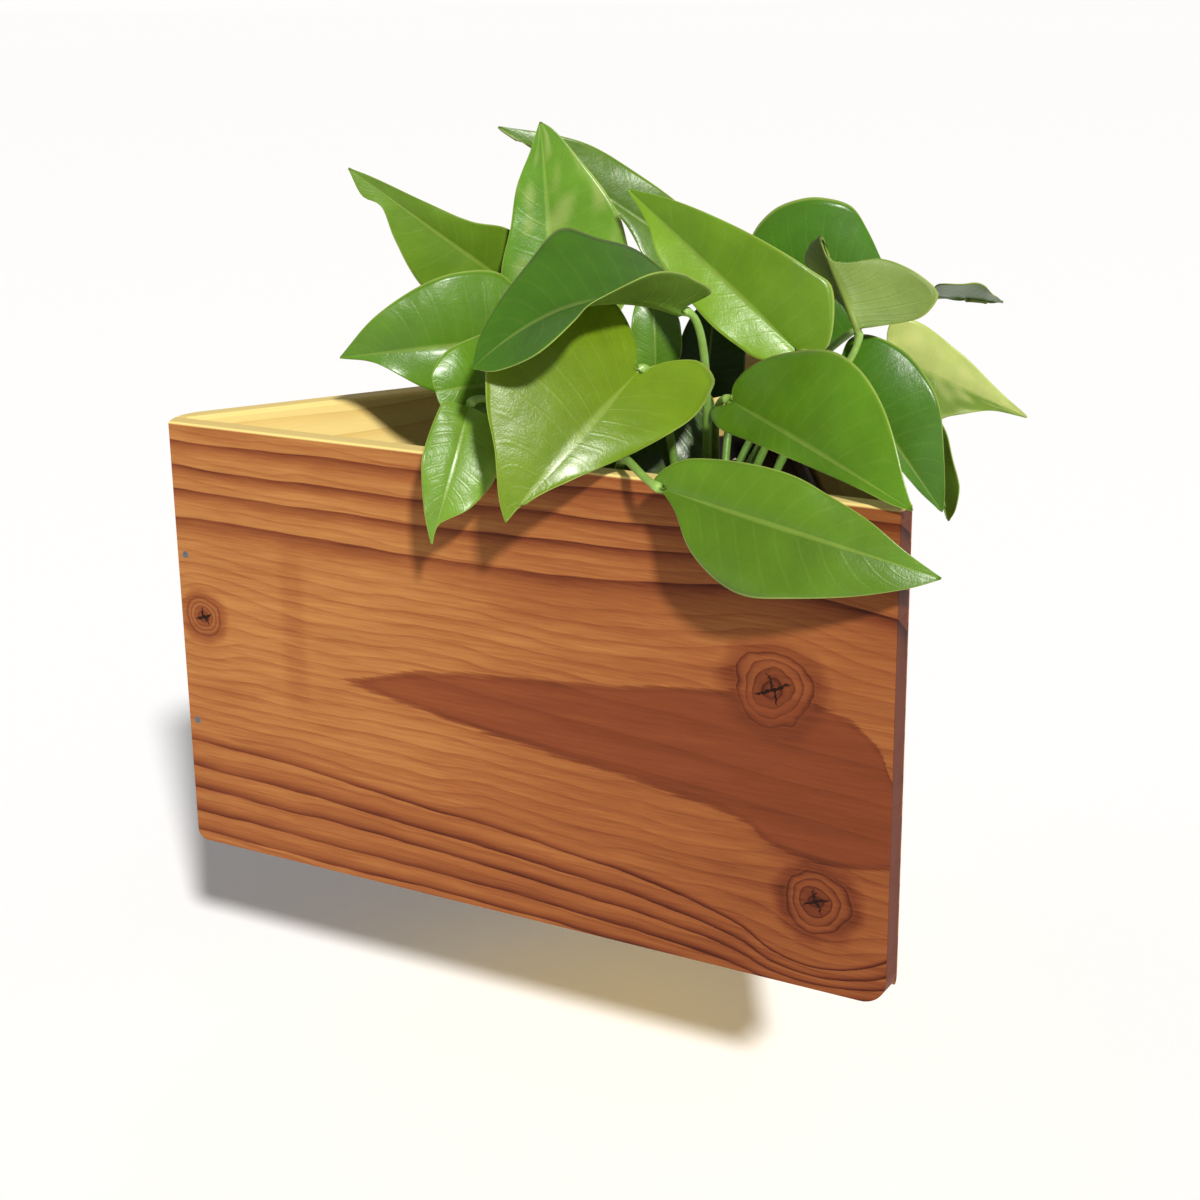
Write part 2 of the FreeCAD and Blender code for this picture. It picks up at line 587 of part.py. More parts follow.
def skin(rings):
    """A closed solid over a row of rings, with a flat-sided cap at each end."""
    faces = []

    def patch(*corners):
        faces.append(Part.Face(Part.makePolygon(list(corners) + [corners[0]])))

    count = len(rings[0])
    for lower, upper in zip(rings, rings[1:]):
        for n in range(count):
            m = (n + 1) % count
            patch(lower[n], lower[m], upper[m])
            patch(lower[n], upper[m], upper[n])
    for ring in (rings[0], rings[-1]):
        half = count // 2
        for n in range(half - 1):
            patch(ring[n], ring[n + 1], ring[count - 2 - n])
            patch(ring[n], ring[count - 2 - n], ring[count - 1 - n])
    solid = Part.makeSolid(Part.makeShell(faces))
    if solid.Volume < 0:
        solid.reverse()
    return solid


leaf_items = {}
for leaf in map(in_millimetres, LEAVES):
    frame = leaf_frame(leaf)
    item = doc.addObject("Part::Feature", leaf.name)
    item.Shape = skin(stalk_rings(leaf, frame) + blade_rings(leaf, frame))
    leaf_items[leaf.name] = item

stump = doc.addObject("Part::Cylinder", "cut_stem")
bind(stump, Radius="stump_diameter / 2", Height="stump_height", Placement__Base__x="stump_x",
     Placement__Base__y=f"0 - {INRADIUS} - stump_forward", Placement__Base__z=SOIL_TOP)

# ---------------------------------------------------------------- checks and export
PIECES = {"front_board": front_board, "side_board": side_board, "back_board": back_board,
          "base_board": base_board, "front_cleat": front_cleat, "side_cleat": side_cleat,
          "back_cleat": back_cleat, "front_corner_block": front_corner_block,
          "wall_corner_block": wall_corner_block, "corner_brads": brads, "liner": liner,
          "potting_soil": potting_soil, "cut_stem": stump}
PIECES.update(leaf_items)

doc.recompute()
for item in doc.Objects:
    if "Invalid" in item.State or "Error" in item.State:
        raise RuntimeError(f"{item.Name}: {item.State}")

os.makedirs("parts", exist_ok=True)
for name, piece in PIECES.items():
    piece.Label = name
    shape = piece.Shape
    if shape.isNull() or not shape.isValid() or not shape.Solids:
        raise RuntimeError(f"{name}: bad shape")
    print(f"{name:20s} solids {len(shape.Solids)} volume {shape.Volume:10.0f}")
    shape.exportStep(f"parts/{name}.step")
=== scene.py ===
"""A triangular wooden wall planter with a pothos, dressed for rendering.

Frame: metres, X to the right along the wall, Y into the wall, Z up, origin on the wall between the
two wall screws.  Sizes in this file are in millimetres unless a comment says otherwise."""
import math
from collections import namedtuple

import bpy
import numpy as np
from mathutils import Matrix, Vector


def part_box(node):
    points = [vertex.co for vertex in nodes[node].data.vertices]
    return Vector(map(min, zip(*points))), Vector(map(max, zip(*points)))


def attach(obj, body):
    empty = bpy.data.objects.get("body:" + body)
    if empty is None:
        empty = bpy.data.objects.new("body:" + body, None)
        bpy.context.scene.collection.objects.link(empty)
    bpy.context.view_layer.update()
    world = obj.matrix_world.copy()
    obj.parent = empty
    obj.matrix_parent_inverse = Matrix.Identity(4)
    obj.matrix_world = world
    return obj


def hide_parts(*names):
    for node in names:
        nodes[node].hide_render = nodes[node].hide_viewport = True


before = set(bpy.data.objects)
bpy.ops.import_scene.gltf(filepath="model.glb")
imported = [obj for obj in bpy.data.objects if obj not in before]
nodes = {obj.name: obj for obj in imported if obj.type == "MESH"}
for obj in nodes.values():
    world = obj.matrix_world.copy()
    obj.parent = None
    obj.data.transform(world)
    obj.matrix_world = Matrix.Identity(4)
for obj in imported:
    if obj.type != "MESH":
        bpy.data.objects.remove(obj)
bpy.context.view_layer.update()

# ---- sizes, in millimetres
MM = 0.001
TRIANGLE_SIDE = 340.0
BOARD_HEIGHT = 184.0
BOARD_THICKNESS = 10.0
BOTTOM_Z = -158.0
RIM_Z = BOTTOM_Z + BOARD_HEIGHT
SOIL_Z = RIM_Z - 48.0
INRADIUS = TRIANGLE_SIDE / math.sqrt(12)
FREE_END = TRIANGLE_SIDE - BOARD_THICKNESS * math.tan(math.radians(30))
STALK_DIAMETER = 3.4
LEAF_THICKNESS = 0.9
rng = np.random.default_rng(7)


def around(count):
    """Evenly spaced angles round a circle."""
    return np.linspace(0, 2 * math.pi, count + 1)[:-1]


def tube_faces(rows, count):
    """The quads between neighbouring rings, as four columns of point numbers."""
    row, step = np.meshgrid(np.arange(rows - 1), np.arange(count), indexing="ij")
    after = (step + 1) % count
    return np.stack([row * count + step, row * count + after, (row + 1) * count + after,
                     (row + 1) * count + step], axis=-1).reshape(-1, 4)


def closed_tube(rows, count):
    """The faces of a tube of rings, with a flat face on its first and its last ring."""
    return tube_faces(rows, count).tolist() + [list(range(count))[::-1],
                                               list(range((rows - 1) * count, rows * count))]


# ---- camera, light and floor
# The camera's place and turn come from the planter's own straight edges.
CAMERA_PLACE = (-414.6, -806.0, 193.0)
CAMERA_YAW, CAMERA_PITCH, CAMERA_ROLL = 29.8, -16.8, -0.73
FOCAL_PIXELS, IMAGE_PIXELS = 2026.0, 1200
SENSOR_WIDTH = 36.0
NEAR_LIMIT, FAR_LIMIT = 0.01, 500.0  # metres
KEY_HEADING, KEY_STRENGTH, KEY_SPREAD, KEY_COLOUR = (0.35, 1.21, -0.83), 4.5, 4.5, (1.0, 0.98, 0.95)
SKY_STRENGTH = 0.27
# The floor's drop is below the box.  The reach of its flat middle, its width and its rise are in metres.
FLOOR_DROP = 95.0
FLOOR_MIDDLE, FLOOR_WIDTH, FLOOR_RISE = 18.0, 280.0, 20.0
FLOOR_RINGS, FLOOR_SIDES = 13, 64
FLOOR_COLOUR, FLOOR_ROUGHNESS = (0.97, 0.97, 0.98, 1.0), 0.9


def direction(yaw, pitch):
    """The unit vector that looks yaw degrees to the right of +Y and pitch degrees up."""
    yaw, pitch = math.radians(yaw), math.radians(pitch)
    return Vector((math.sin(yaw) * math.cos(pitch), math.cos(yaw) * math.cos(pitch), math.sin(pitch)))


def add_camera():
    """The camera at its place, turned and rolled as the constants say."""
    data = bpy.data.cameras.new("camera")
    data.sensor_width = SENSOR_WIDTH
    data.lens = FOCAL_PIXELS / IMAGE_PIXELS * SENSOR_WIDTH
    data.clip_start = NEAR_LIMIT
    data.clip_end = FAR_LIMIT
    camera = bpy.data.objects.new("camera", data)
    bpy.context.scene.collection.objects.link(camera)
    turn = direction(CAMERA_YAW, CAMERA_PITCH).to_track_quat("-Z", "Y").to_matrix().to_4x4()
    roll = Matrix.Rotation(math.radians(CAMERA_ROLL), 4, "Z")
    camera.matrix_world = Matrix.Translation(Vector(CAMERA_PLACE) * MM) @ turn @ roll
    bpy.context.scene.camera = camera


def add_sun(name, heading, strength, spread, colour):
    """A far light that shines along heading; spread is its width in degrees."""
    data = bpy.data.lights.new(name, "SUN")
    data.energy = strength
    data.angle = math.radians(spread)
    data.color = colour
    light = bpy.data.objects.new(name, data)
    light.rotation_euler = Vector(heading).to_track_quat("-Z", "Y").to_euler()
    bpy.context.scene.collection.objects.link(light)


def add_sky(strength):
    """An even white light from all round."""
    world = bpy.data.worlds.new("soft_sky")
    world.use_nodes = True
    back = world.node_tree.nodes["Background"]
    back.inputs["Color"].default_value = (1.0, 1.0, 1.0, 1.0)
    back.inputs["Strength"].default_value = strength
    bpy.context.scene.world = world


def add_floor():
    """A wide round floor: flat in the middle, then rising with the square of t, the share of the way out."""
    angle, t = np.meshgrid(around(FLOOR_SIDES), np.linspace(0, 1, FLOOR_RINGS))
    reach, lift = FLOOR_MIDDLE + FLOOR_WIDTH * t, FLOOR_RISE * t ** 2
    z = (BOTTOM_Z - FLOOR_DROP) * MM
    points = np.stack([reach * np.cos(angle), reach * np.sin(angle), z + lift], axis=-1).reshape(-1, 3)
    faces = tube_faces(FLOOR_RINGS, FLOOR_SIDES).tolist() + [list(range(FLOOR_SIDES))]
    mesh = bpy.data.meshes.new("floor")
    mesh.from_pydata(points.tolist(), [], faces)
    floor = bpy.data.objects.new("floor", mesh)
    bpy.context.scene.collection.objects.link(floor)
    material = bpy.data.materials.new("pale_floor")
    material.use_nodes = True
    shader = material.node_tree.nodes["Principled BSDF"]
    shader.inputs["Base Color"].default_value = FLOOR_COLOUR
    shader.inputs["Roughness"].default_value = FLOOR_ROUGHNESS
    mesh.materials.append(material)


bpy.context.scene.view_settings.view_transform = "Standard"
add_camera()
add_sun("key_light", KEY_HEADING, KEY_STRENGTH, KEY_SPREAD, KEY_COLOUR)
add_sky(SKY_STRENGTH)
add_floor()


# ---- writing shader formulas
def rgb(colour):
    """A display colour, 0 to 255, as the linear values that shaders use."""
    share = np.asarray(colour, float) / 255
    linear = np.where(share <= 0.04045, share / 12.92, ((share + 0.055) / 1.055) ** 2.4)
    return tuple(linear) + (1.0,)


class Field:
    """A number that varies over a surface, written with ordinary arithmetic."""

    def __init__(self, paint, socket):
        self.paint, self.socket = paint, socket

    def __add__(self, other):
        return self.paint.math("ADD", self, other)

    def __sub__(self, other):
        return self.paint.math("SUBTRACT", self, other)

    def __rsub__(self, other):
        return self.paint.math("SUBTRACT", other, self)

    def __mul__(self, other):
        return self.paint.math("MULTIPLY", self, other)

    def __truediv__(self, other):
        return self.paint.math("DIVIDE", self, other)

    def __rtruediv__(self, other):
        return self.paint.math("DIVIDE", other, self)

    def __pow__(self, other):
        return self.paint.math("POWER", self, other)

    __radd__, __rmul__ = __add__, __mul__


class Paint:
    """One procedural material being written."""

    def __init__(self, name):
        self.material = bpy.data.materials.new(name)
        self.material.use_nodes = True
        self.tree = self.material.node_tree
        self.shader = self.tree.nodes["Principled BSDF"]
        self.place = None

    def node(self, kind, **settings):
        """A new shader node with these settings."""
        made = self.tree.nodes.new(kind)
        for name, value in settings.items():
            setattr(made, name, value)
        return made

    def feed(self, socket, value):
        """Give a socket its value: a field, another socket or a plain number or colour."""
        if isinstance(value, Field):
            self.tree.links.new(value.socket, socket)
        elif hasattr(value, "is_linked"):
            self.tree.links.new(value, socket)
        else:
            socket.default_value = value

    def math(self, operation, *values):
        made = self.node("ShaderNodeMath", operation=operation)
        for socket, value in zip(made.inputs, values):
            self.feed(socket, value)
        return Field(self, made.outputs[0])

    def spot(self):
        """The place on the surface in millimetres: the object's own coordinates, as one vector."""
        if self.place is None:
            scale = self.node("ShaderNodeVectorMath", operation="SCALE")
            scale.inputs["Scale"].default_value = 1 / MM
            self.feed(scale.inputs[0], self.node("ShaderNodeTexCoord").outputs["Object"])
            self.place = scale.outputs[0]
        return self.place

    def parts(self, vector):
        """The three parts of a vector, as fields."""
        made = self.node("ShaderNodeSeparateXYZ")
        self.feed(made.inputs[0], vector)
        return [Field(self, made.outputs[n]) for n in range(3)]

    def vector(self, x, y, z):
        made = self.node("ShaderNodeCombineXYZ")
        for socket, value in zip(made.inputs, (x, y, z)):
            self.feed(socket, value)
        return made.outputs[0]

    def noise(self, vector, size, detail=3.0, rough=0.55):
        """Smooth noise from -1 to 1 whose lumps are about size across."""
        made = self.node("ShaderNodeTexNoise")
        self.feed(made.inputs["Vector"], vector)
        made.inputs["Scale"].default_value = 1 / size
        made.inputs["Detail"].default_value = detail
        made.inputs["Roughness"].default_value = rough
        return Field(self, made.outputs["Fac"]) * 2.0 - 1.0

    def step(self, value, low, high):
        """0 below low, 1 above high, and a smooth rise between them."""
        made = self.node("ShaderNodeMapRange", interpolation_type="SMOOTHSTEP")
        for socket, given in zip(made.inputs, (value, low, high, 0.0, 1.0)):
            self.feed(socket, given)
        return Field(self, made.outputs[0])

    def curve(self, value, points, low, high):
        """A smooth curve through points, whose heights run from low to high."""
        made = self.node("ShaderNodeFloatCurve")
        left, right = points[0][0], points[-1][0]
        line = made.mapping.curves[0]
        for n, (x, y) in enumerate(points):
            spot = ((x - left) / (right - left), (y - low) / (high - low))
            if n in (0, len(points) - 1):
                line.points[0 if n == 0 else -1].location = spot
            else:
                line.points.new(*spot)
        made.mapping.update()
        self.feed(made.inputs["Value"], (value - left) / (right - left))
        return Field(self, made.outputs[0]) * (high - low) + low

    def ramp(self, value, stops):
        """A colour that runs through (place, colour) stops."""
        made = self.node("ShaderNodeValToRGB")
        line = made.color_ramp
        line.elements[0].position, line.elements[0].color = stops[0][0], rgb(stops[0][1])
        line.elements[1].position, line.elements[1].color = stops[-1][0], rgb(stops[-1][1])
        for place, colour in stops[1:-1]:
            line.elements.new(place).color = rgb(colour)
        self.feed(made.inputs["Fac"], value)
        return made.outputs["Color"]

    def mix(self, share, first, second, blend="MIX"):
        """Two colours mixed; share is how much of the second shows."""
        made = self.node("ShaderNodeMix", data_type="RGBA", blend_type=blend)
        self.feed(made.inputs[0], share)
        self.feed(made.inputs[6], first if hasattr(first, "is_linked") else rgb(first))
        self.feed(made.inputs[7], second if hasattr(second, "is_linked") else rgb(second))
        return made.outputs[2]

    def bump(self, height, depth):
        """Relief from a height field; depth is in millimetres."""
        made = self.node("ShaderNodeBump")
        made.inputs["Distance"].default_value = depth * MM
        made.inputs["Strength"].default_value = 1.0
        self.feed(made.inputs["Height"], height)
        self.feed(self.shader.inputs["Normal"], made.outputs["Normal"])

    def finish(self, colour, roughness, **settings):
        """Set the surface's colour, roughness and other inputs, and return the material."""
        self.feed(self.shader.inputs["Base Color"], colour)
        self.feed(self.shader.inputs["Roughness"], roughness)
        for name, value in settings.items():
            self.shader.inputs[name.replace("_", " ")].default_value = value
        return self.material


# ---- wood
STAIN_LIGHT = (168, 114, 62)
STAIN_MID = (140, 82, 43)
STAIN_RED = (106, 52, 28)
STAIN_DARK = (66, 28, 16)
HEART_RED = (116, 58, 32)
BARE_LIGHT = (228, 202, 128)
BARE_MID = (210, 174, 100)
BARE_DARK = (172, 124, 60)
PAINTED_SHADE_BARE = (118, 92, 40)
# Painted shade: a dark olive mixed into the side board's bare inner face.
SPLIT_BLACK = (22, 12, 8)
END_GRAIN = [(0.0, (92, 44, 26)), (0.5, (64, 26, 16)), (1.0, (26, 10, 8))]
# A low index keeps the pale floor's reflection off the boards at flat angles.
WAXED_WOOD_IOR = 1.17
GRAIN_RELIEF = 0.35
# The angle in degrees by which each board is turned about the upright from the back board.
FRONT_TURN, SIDE_TURN, BACK_TURN = 120, -120, 0
# Depths over which the inner finish takes over, and heights over which the upper edge is worn bare.
INNER_FACE = (9.2, 9.9)
WORN_EDGE = (182.7, 183.6)
# The share of a growth ring's width at which its dark line starts to end.
RING_END = 0.96

# Growth lines of the front board: height, and the line's number.  The lower heights are shares of the
# height at which the lowest group begins.
UPPER_LINES = [(90, 0.0), (128, 0.3), (142, 1.0), (154, 2.0), (164, 3.0), (175, 4.0), (186, 5.0)]
LOWER_LINES = [(0.0, 0.0), (0.08, 1.0), (0.24, 2.0), (0.43, 3.0), (0.6, 4.0), (0.8, 5.0), (0.96, 5.9),
               (1.6, 5.95)]
# The reddish heart of the front board: its upper and lower edge at distances from the left tip.
HEART_TOP = [(0, 78), (60, 80), (101, 87), (125, 93), (150, 97), (217, 104), (262, 109), (285, 112),
             (312, 108), (325, 101), (333, 88), (340, 60)]
HEART_FOOT = [(0, 96), (60, 92), (101, 85), (140, 78), (181, 73), (234, 67), (276, 60), (292, 52),
              (310, 50), (340, 56)]
# The height at which the lowest group of growth lines begins, at distances from the left tip.
LOWER_REACH = [(0, 60), (60, 56), (122, 50), (190, 44), (240, 38), (276, 30), (300, 22), (320, 24),
               (340, 40)]
# Knots: distance from the left tip, height, half width, half height.
KNOTS = [(27.0, 102.0, 10.0, 9.0), (288.0, 113.0, 17.0, 15.5), (307.0, 35.0, 14.0, 13.0)]
# How far a knot pushes the growth lines aside, how soon that fades, its rings and its splits' slopes.
KNOT_PUSH, KNOT_SPREAD = 1.15, 0.9
KNOT_RINGS = 4.3
SPLIT_SLOPES = (0.35, -2.4)
# Heights over which the lowest group of lines gives way to the upper one, and the numbers at which the
# upper group starts and the lowest group stops.
GROUPS_MEET = (84.0, 88.0)
FIRST_UPPER, LAST_LOWER = 0.02, 5.93
# The darker upright band: distance from the left tip, and half widths of its full and its faded part.
BAND_PLACE, BAND_HALF_WIDTHS = 74.0, (2.0, 9.0)


def board_places(paint, turn):
    """Distance along a board's face from its left end, depth behind the face, and height."""
    x, y, z = paint.parts(paint.spot())
    cosine, sine = math.cos(math.radians(turn)), math.sin(math.radians(turn))
    y = y + INRADIUS
    # The face's left end, seen from outside, is the start.
    along = x * -cosine + y * -sine + TRIANGLE_SIDE / 2
    depth = x * sine + y * -cosine + INRADIUS
    return along, depth, z - BOTTOM_Z


def grain(paint, along, height, depth):
    """Fine dark and pale streaks that run along the board."""
    long_way = paint.vector(along / 22.0, height, depth)
    fine = paint.noise(long_way, 1.1, 4.0, 0.7)
    broad = paint.noise(paint.vector(along / 9.0, height, depth), 9.0, 3.0, 0.5)
    return fine, broad


def stained(paint, tone, red, fine, broad):
    """The stained colour: tone 0 is the soft early wood and 1 the hard late wood."""
    wood = paint.ramp(tone + broad * 0.22 + fine * 0.26 + 0.08,
                      [(0.0, STAIN_LIGHT), (0.32, STAIN_MID), (0.72, STAIN_RED), (1.0, STAIN_DARK)])
    heart = paint.ramp(tone * 0.6 + broad * 0.2 + fine * 0.2 + 0.3,
                       [(0.0, STAIN_MID), (0.4, HEART_RED), (1.0, STAIN_DARK)])
    return paint.mix(red, wood, heart)


def bare(paint, tone, fine, broad):
    """The unstained colour of the same wood."""
    return paint.ramp(tone * 0.8 + broad * 0.12 + fine * 0.08,
                      [(0.0, BARE_LIGHT), (0.5, BARE_MID), (1.0, BARE_DARK)])


def ring_tone(paint, phase):
    """A growth ring's profile: it darkens slowly, is darkest at its line and ends sharply."""
    share = paint.math("FRACT", phase)
    return share ** 3.0 * (1.0 - paint.step(share, RING_END, 1.0))


def worn_top(paint, colour, tone, height, fine, broad):
    """The colour, but bare wood where the upper edge has lost its stain."""
    worn = paint.step(height + fine * 0.25, *WORN_EDGE)
    return paint.mix(worn, colour, bare(paint, tone * 0.4, fine, broad))


def knot_fields(paint, along, height, level):
    """The height as the knots bend it, then the knots' discs, rings, cores, dark halos and splits."""
    bent = level
    discs, rings, cores, halos, splits = 0.0, 0.0, 0.0, 0.0, 0.0
    for n, (middle, middle_height, half_width, half_height) in enumerate(KNOTS):
        right, up = along - middle, height - middle_height
        reach = (right / half_width) ** 2.0 + (up / half_height) ** 2.0
        bent = bent - up * (KNOT_PUSH / (reach + KNOT_SPREAD))
        wobble = paint.noise(paint.vector(along, height, float(n)), 14.0, 2.0, 0.5) * 0.28
        radius = paint.math("SQRT", reach) + wobble
        inside = 1.0 - paint.step(radius, 0.86, 1.06)
        discs = discs + inside
        rings = rings + inside * ring_tone(paint, radius * KNOT_RINGS) * 0.6
        cores = cores + (1.0 - paint.step(radius, 0.2, 0.5))
        halos = halos + (1.0 - paint.step(radius, 1.0, 1.5)) * paint.step(radius, 0.7, 1.0)
        # Two fine splits cross near the middle of each knot.
        near = paint.step((1.0 - paint.step(radius, 0.1, 0.55)) * 0.8, 0.1, 0.5)
        ragged = paint.noise(paint.vector(along, height, 5.0 + n), 5.0, 4.0, 0.7) * 5.5
        for slope in SPLIT_SLOPES:
            off = paint.math("ABSOLUTE", right + up * slope + ragged) / (1.0 + abs(slope))
            splits = splits + (1.0 - paint.step(off, 0.1, 0.5)) * near
    discs, splits = paint.math("MINIMUM", discs, 1.0), paint.math("MINIMUM", splits, 1.0)
    return bent, discs, rings, cores, halos, splits


def growth_lines(paint, along, height, bent, wander):
    """How dark the front board's growth lines are, and the upper lines' running number."""
    upper = paint.math("MAXIMUM", paint.curve(bent, UPPER_LINES, 0.0, 5.0), FIRST_UPPER)
    reach = paint.curve(along, LOWER_REACH, 20.0, 60.0)
    lower = paint.math("MINIMUM", paint.curve(bent / reach, LOWER_LINES, 0.0, 6.0), LAST_LOWER)
    above = paint.step(bent, *GROUPS_MEET)
    lines = ring_tone(paint, upper) * above + ring_tone(paint, 6.0 - lower) * (1.0 - above)
    strength = 0.72 + paint.noise(paint.vector(along / 50.0, height / 8.0, 1.0), 1.0, 2.0, 0.5) * 0.3
    between = ring_tone(paint, (bent + along * 0.03 + wander * 3.0) / 5.3) * 0.2
    return paint.math("MAXIMUM", lines * strength, between), upper


def heart_fields(paint, along, height, level, fine):
    """The reddish heart between its two feathered edges, and the dark line along them."""
    below_top = paint.curve(along, HEART_TOP, 50.0, 120.0) - level
    above_foot = level - paint.curve(along, HEART_FOOT, 40.0, 100.0)
    feather = paint.noise(paint.vector(along / 26.0, height * 0.8, 2.0), 1.0, 3.0, 0.6)
    inside = paint.math("MINIMUM", below_top, above_foot) + feather * 2.4 + fine
    rim_line = paint.step(inside, -0.5, 0.6) * (1.0 - paint.step(inside, 0.8, 4.0))
    return paint.step(inside, 0.0, 2.2), rim_line


def front_shade_and_band(paint, along, height):
    """How much darker the front is drawn: painted shade that deepens to the right and towards the foot, and a
    faint upright band.
    """
    band = (1.0 - paint.step(paint.math("ABSOLUTE", along - BAND_PLACE), *BAND_HALF_WIDTHS)) * 0.1
    band = band * paint.step(height, 60.0, 85.0) * (1.0 - paint.step(height, 120.0, 150.0))
    # Painted shade, darker to the right and towards the foot, plus the band.
    return paint.step(along, 60.0, 330.0) * 0.26 + (1.0 - paint.step(height, 0.0, 110.0)) * 0.16 + band


def front_wood():
    """The knotty front board: straight rings above and below, a red heart between, three knots."""
    paint = Paint("stained_front_board")
    along, depth, height = board_places(paint, FRONT_TURN)
    fine, broad = grain(paint, along, height, depth)
    wander = paint.noise(paint.vector(along / 60.0, height / 30.0, depth / 40.0), 1.0, 2.0, 0.5)
    level = height + wander * 2.2 + fine * 0.35
    bent, discs, rings, cores, halos, splits = knot_fields(paint, along, height, level)
    lines, upper = growth_lines(paint, along, height, bent, wander)
    heart, rim_line = heart_fields(paint, along, height, level, fine)
    faint = ring_tone(paint, (level + along * 0.08) / 13.0) * 0.25
    tone = paint.math("MAXIMUM", lines * (1.0 - heart), heart * faint + rim_line * 0.3)
    tone = tone * (1.0 - discs) + rings + cores * 0.35 + halos * 0.28
    red = paint.math("MINIMUM", heart + discs * 0.6, 1.0)
    # The stained colour, with painted shade added to its tone.
    colour = stained(paint, tone + front_shade_and_band(paint, along, height), red, fine, broad)
    colour = paint.mix(splits * 0.95, colour, SPLIT_BLACK)
    colour = paint.mix(paint.step(depth, *INNER_FACE), colour, bare(paint, tone, fine, broad))
    # The square end shows the same rings from their cut side, and is much darker.
    end = paint.step(along, FREE_END - 0.2, FREE_END - 0.05)
    end_rings = ring_tone(paint, upper + depth * 0.05)
    colour = paint.mix(end, colour, paint.ramp(end_rings + broad * 0.2, END_GRAIN))
    colour = worn_top(paint, colour, tone, height, fine, broad)
    paint.bump(fine * 0.10 - tone * 0.35 - splits * 1.5, GRAIN_RELIEF)
    return paint.finish(colour, 0.45 + fine * 0.06 + tone * 0.1, IOR=WAXED_WOOD_IOR)


def plain_wood(name, turn, spacing, outside, inside, offset=0.0):
    """A straight-grained board with growth lines spacing apart; outside is "stained" or "bare", and inside is
    "bare" or "shaded", which is bare wood darkened with painted shade."""
    paint = Paint(name)
    along, depth, height = board_places(paint, turn)
    fine, broad = grain(paint, along, height + offset, depth)
    wander = paint.noise(paint.vector(along / 70.0, height / 34.0 + offset, depth / 40.0), 1.0, 2.0, 0.5)
    drift = paint.noise(paint.vector(along / 300.0, height / 40.0 + offset, 3.0), 1.0, 1.0, 0.5)
    level = height + wander * 3.0 + drift * 16.0 + along * 0.015 + offset
    tone = ring_tone(paint, level / spacing) * (0.6 + broad * 0.3)
    inner = bare(paint, tone, fine, broad)
    # Painted shade: the inner face is drawn darker, as the shade inside the box would fall.
    if inside == "shaded":
        inner = paint.mix(0.72, inner, PAINTED_SHADE_BARE)
    colour = inner
    if outside == "stained":
        outer = stained(paint, tone + 0.05, 0.15, fine, broad)
        colour = paint.mix(paint.step(depth, *INNER_FACE), outer, inner)
    colour = worn_top(paint, colour, tone, height, fine, broad)
    paint.bump(fine * 0.12 - tone * 0.3, GRAIN_RELIEF)
    return paint.finish(colour, 0.5 + fine * 0.06, IOR=WAXED_WOOD_IOR)


# ---- steel, plastic, soil
def brad_steel():
    """Dull steel with a fine grain."""
    paint = Paint("dull_brad_steel")
    speck = paint.noise(paint.spot(), 0.6, 3.0, 0.6)
    colour = paint.ramp(speck * 0.5 + 0.5, [(0.0, (70, 76, 84)), (1.0, (134, 140, 148))])
    paint.bump(speck, 0.05)
    return paint.finish(colour, 0.42 + speck * 0.1, Metallic=0.9)


def liner_plastic():
    """Black plastic with faint dust on it."""
    paint = Paint("black_liner_plastic")
    grainy = paint.noise(paint.spot(), 0.8, 2.0, 0.5)
    dusty = paint.noise(paint.spot(), 30.0, 3.0, 0.5)
    colour = paint.ramp(dusty * 0.4 + 0.5, [(0.0, (22, 22, 22)), (1.0, (44, 43, 40))])
    paint.bump(grainy, 0.05)
    return paint.finish(colour, 0.5 + dusty * 0.1)


def potting_mix():
    """Dark crumbly soil."""
    paint = Paint("dark_potting_mix")
    lumps = paint.noise(paint.spot(), 7.0, 4.0, 0.65)
    crumbs = paint.noise(paint.spot(), 1.4, 3.0, 0.7)
    colour = paint.ramp(lumps * 0.3 + crumbs * 0.35 + 0.5,
                        [(0.0, (22, 15, 10)), (0.5, (54, 38, 26)), (1.0, (98, 74, 50))])
    paint.bump(crumbs + lumps, 1.2)
    return paint.finish(colour, 0.95, Specular_IOR_Level=0.2)


def chip_mix():
    """Bark chips and white grit, told apart by the value that each lump carries."""
    paint = Paint("bark_and_grit")
    kind = paint.node("ShaderNodeAttribute", attribute_name="lump_kind").outputs["Fac"]
    speck = paint.noise(paint.spot(), 0.9, 3.0, 0.6)
    bark = paint.ramp(speck * 0.5 + 0.5, [(0.0, (48, 30, 20)), (1.0, (112, 76, 46))])
    grit = paint.ramp(speck * 0.5 + 0.5, [(0.0, (188, 184, 174)), (1.0, (232, 230, 222))])
    colour = paint.mix(Field(paint, kind), bark, grit)
    paint.bump(speck, 0.3)
    return paint.finish(colour, 0.9)


# ---- leaf materials
LEAF_IOR = 1.33
# Side veins of a whole leaf, and how far they lean towards the tip, as a share of its length.
VEINS, VEIN_SLANT = 13.0, 0.16
VEIN_TINT = (176, 196, 96)
EDGE_TINT = (190, 206, 110)
CREAM_TINT = (214, 216, 140)
STALK_PALE, STALK_DEEP = (150, 186, 92), (96, 140, 52)
STUMP_GREEN, STUMP_BROWN = (122, 142, 62), (150, 112, 60)


